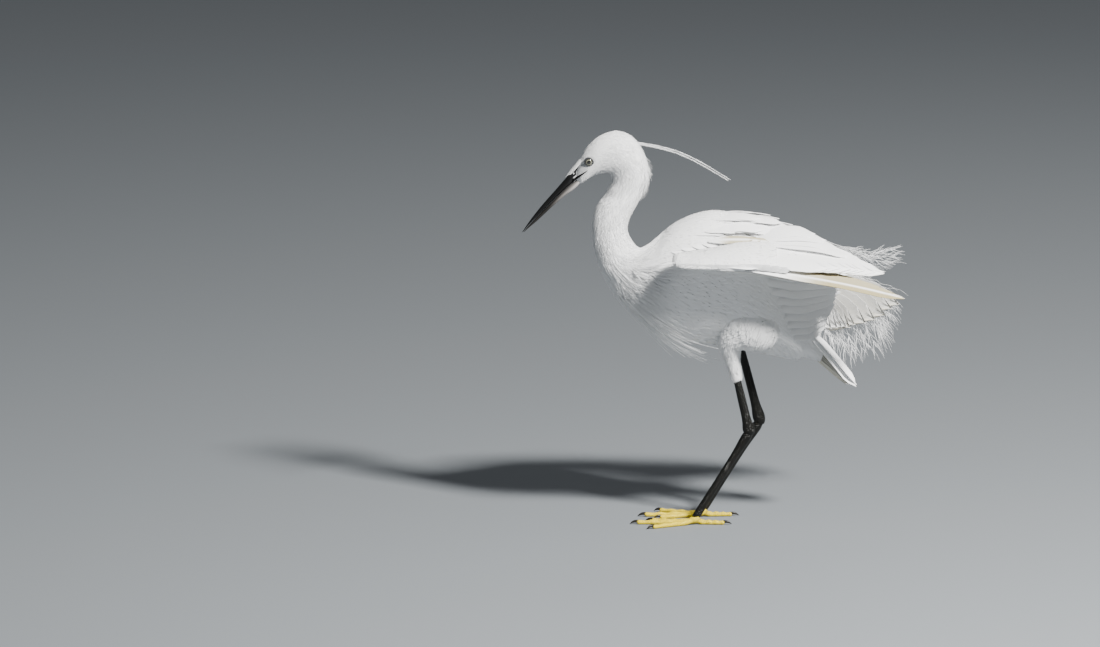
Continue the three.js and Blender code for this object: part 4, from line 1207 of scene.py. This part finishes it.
def forehead():
    """Short feathers that run down over the base of the bill."""
    specs = []
    for y in np.linspace(-4.8, 4.8, 11):
        fall = 1.4 * (y / 3.5) ** 2
        root = vec(-129, y * 1.4, 373 - fall)
        tip = vec(-148.5 + abs(y), y * 0.8, 349 - 0.7 * fall + abs(y))
        specs.append(dict(root=root, tip=tip, normal=vec(-0.6, y / 6, 0.8), width=2.8, bow=0.6, pointed=0.6))
    vane_piece("forehead", specs, 9, 5)


# Legs and feet

LEFT_ANKLE, RIGHT_ANKLE = vec(35.5, -18, 93.6), vec(46.5, 20, 98)
LEFT_FOOT, RIGHT_FOOT = vec(-19, -20, 6.2), vec(-11, 21, 6.2)
TARSUS_RADIUS, TIBIA_RADIUS = 3.5, 4.1
TOE_RADIUS, TOE_HEIGHT, CLAW_LENGTH = 3.1, 2.15, 9
TOE_RINGS = 9
# The toes of a foot: name, heading off straight ahead in degrees, length and share of the full radius.
TOES = (("inner", -17, 43, 0.92), ("middle", 0, 56, 1), ("outer", 30, 47, 0.94), ("hind", 176, 28, 0.96))
# How the leg bones swell: share of the length, then shares of the radius across and fore and aft.
TIBIA_FORM = (
    (-0.12, 0.8, 0.85),
    (0.3, 0.86, 1),
    (0.72, 0.92, 1.1),
    (0.92, 1.25, 1.5),
    (1.0, 1.2, 1.35),
    (1.05, 0.8, 0.9),
)
TARSUS_FORM = (
    (0.0, 1.0, 1.1),
    (0.05, 1.3, 1.4),
    (0.1, 1.12, 1.4),
    (0.3, 0.88, 1.08),
    (0.7, 0.88, 1.05),
    (0.93, 1.05, 1.15),
    (1.0, 0.95, 1.0),
)
# The lowest that the sole may lie.
SOLE_HEIGHT = 0.02


def scuted(stations, hint, rings, sides, pitch, depth, centre):
    """A limb with plates across one of its faces. centre is the angle of that face."""
    line = smooth(stations, np.linspace(0, 1, 40))[:, :3]
    length = np.linalg.norm(np.diff(line, axis=0), axis=-1).sum()
    s, a = tube_grid(0, 1, rings, sides)
    away = np.abs(wrapped(a - centre))
    phase = (s * length / pitch) % 1
    plate = np.clip(np.minimum(phase, (1 - phase) * 3) * 4, 0, 1) - 1
    out = depth * plate * np.clip(1.6 - away, 0, 1)
    return loft(limb_surface(stations, hint)(s, a, out))


def leg_bone(name, node, start, end, radius, form, rings, pitch, depth, centre):
    stations = vec(*[[*mix(start, end, t), radius * across, radius * deep] for t, across, deep in form])
    points, quads = scuted(stations, vec(1, 0, 0), rings, 28, pitch, depth, centre)
    piece(add_mesh(name, points, quads, BLACK_SCALES), "black_scales", node)


def legs():
    front = math.pi / 2
    for side, ankle, foot, name in (
        (NEAR, LEFT_ANKLE, LEFT_FOOT, "left"),
        (FAR, RIGHT_ANKLE, RIGHT_FOOT, "right"),
    ):
        knee = THIGHS[side][-1][:3]
        shank, lower = (name + "_shank", name + "_tibia"), (name + "_lower_leg", name + "_tarsus")
        leg_bone(*shank, knee, ankle, TIBIA_RADIUS, TIBIA_FORM, 120, 3.4, 0.16, front)
        leg_bone(*lower, ankle, foot, TARSUS_RADIUS, TARSUS_FORM, 260, 3.0, 0.2, -front)
        toes(side, foot, name)


def claw(name, joint, way, length, radius):
    """A claw that starts inside the end of its toe and comes down to a point."""
    stations = [
        [*(joint + way * (length + ahead))[:2], height, deep * 0.8, deep]
        for ahead, height, deep in (
            (-1.5, 2.4, radius),
            (CLAW_LENGTH * 0.3, 3.1, radius * 0.95),
            (CLAW_LENGTH * 0.65, 2.5, radius * 0.7),
            (CLAW_LENGTH, 0.8, 0.2),
        )
    ]
    points, quads = surface_loft(limb_surface(vec(*stations), vec(0, 0, 1)), 0, 1, 24, 16)
    piece(add_mesh(name + "_horn", points, quads, CLAW_HORN, tint=0), "claw_horn", name)


def toe_stations(joint, way, length, radius):
    """Stations of a toe, thick at its pads and thin between them."""
    stations = []
    for k, t in enumerate(shares(TOE_RINGS)):
        padded = radius * mix(1, 0.74, t) * (1.08 if k % 2 == 0 else 0.88)
        height = mix(4.2, TOE_HEIGHT * mix(1, 0.86, t), min(1, t * 3))
        place = joint + way * t * length
        stations.append([*place[:2], max(height, padded * 0.86), padded, padded * 0.96])
    end = joint + way * (length + 1.6)
    stations.append([*end[:2], TOE_HEIGHT * 0.86, radius * 0.5, radius * 0.5])
    return np.array(stations)


def toes(side, joint, name):
    """A foot: the ball where the toes meet, the toes and their claws."""
    up = vec(0, 0, 1)
    ball = vec(
        [*(joint + vec(4, 0, 1.5)), 3.4, 3.2],
        [*(joint + vec(0, 0, -1.2)), 4.6, 4.0],
        [*(joint + vec(-5, 0, -2.6)), 4.2, 2.9],
    )
    parts = [surface_loft(limb_surface(ball, up), 0, 1, 16, 24)]
    for toe, heading, length, share in TOES:
        turn = math.radians(heading)
        way = vec(-math.cos(turn), math.sin(turn) * side, 0)
        radius = TOE_RADIUS * share
        parts.append(scuted(toe_stations(joint, way, length, radius), up, 130, 20, 2.3, 0.3, math.pi / 2))
        claw(f"{name}_{toe}_claw", joint, way, length, radius * 0.52)
    lowest = [-np.inf, -np.inf, SOLE_HEIGHT]
    parts = [(np.maximum(points, lowest), quads) for points, quads in parts]
    piece(joined(name + "_toes", parts, YELLOW_SCALES), "yellow_scales", name + "_foot")


# Stage

FLOOR_LEFT, FLOOR_RIGHT, FLOOR_NEAR, FLOOR_FAR = -6000, 6000, -6000, 9000
SKY = {"Color": (0.86, 0.92, 1, 1), "Strength": 0.16}
# What the lights point at, and the lights: name, place, size, power and colour.
LIT_PLACE = (0, 0, 0.25)
SUN_WHITE, SKY_BLUE = (1, 0.985, 0.95), (0.85, 0.93, 1)
LIGHTS = (
    ("key", (1.4, -1.75, 2.15), 0.4, 350, SUN_WHITE),
    ("fill", (-2.2, -1.8, 1.0), 2.0, 3, SKY_BLUE),
    ("rim", (0.6, 2.2, 1.9), 1.0, 8, SUN_WHITE),
)


def stage():
    near = [[FLOOR_LEFT, FLOOR_NEAR, 0], [FLOOR_RIGHT, FLOOR_NEAR, 0]]
    far = [[FLOOR_RIGHT, FLOOR_FAR, 0], [FLOOR_LEFT, FLOOR_FAR, 0]]
    floor = add_mesh("floor", near + far, [[0, 1, 2, 3]], FLOOR)
    world = bpy.data.worlds.new("studio")
    world.use_nodes = True
    set_inputs(world.node_tree.nodes["Background"], SKY)
    bpy.context.scene.world = world
    for name, place, size, power, colour in LIGHTS:
        lamp = bpy.data.lights.new(name, "AREA")
        lamp.energy, lamp.size, lamp.color = power, size, colour
        made = bpy.data.objects.new(name, lamp)
        made.location = place
        made.rotation_euler = (Vector(LIT_PLACE) - Vector(place)).to_track_quat("-Z", "Y").to_euler()
        bpy.context.scene.collection.objects.link(made)


# The photograph's frame: its size and the pixels that the origin falls on. One pixel is one millimetre.
PHOTO_WIDTH, PHOTO_HEIGHT = 1100, 647
ORIGIN_COLUMN, ORIGIN_ROW = 714, 521
CAMERA_ELEVATION = math.radians(10)
CAMERA_DISTANCE = 13.0
SENSOR_WIDTH = 36


def camera():
    data = bpy.data.cameras.new("camera")
    data.sensor_width = SENSOR_WIDTH
    data.lens = SENSOR_WIDTH * CAMERA_DISTANCE / (PHOTO_WIDTH * MM)
    data.clip_end = 100
    made = bpy.data.objects.new("camera", data)
    right = (PHOTO_WIDTH / 2 - ORIGIN_COLUMN) * MM
    up = (ORIGIN_ROW - PHOTO_HEIGHT / 2) * MM
    target = Vector((right, 0, up / math.cos(CAMERA_ELEVATION)))
    back = Vector((0, -math.cos(CAMERA_ELEVATION), math.sin(CAMERA_ELEVATION)))
    made.location = target + back * CAMERA_DISTANCE
    made.rotation_euler = back.to_track_quat("Z", "Y").to_euler()
    bpy.context.scene.collection.objects.link(made)
    bpy.context.scene.camera = made


camera()
stage()
flesh()
body_coat()
thigh_coat(NEAR, "left_thigh_feathers")
thigh_coat(FAR, "right_thigh_feathers")
wing(NEAR_WING, "left_wing")
wing(FAR_WING, "right_wing")
scapulars()
flank_plumes()
tail()
nape_plumes()
back_plumes()
breast_plumes()
bill("upper_bill", UPPER_BILL, BLACK_HORN, "black_horn", True, 0.3)
bill("lower_bill", LOWER_BILL, GREY_HORN, "grey_horn", False, 0.55)
eyes()
lids()
lores()
gape()
forehead()
legs()
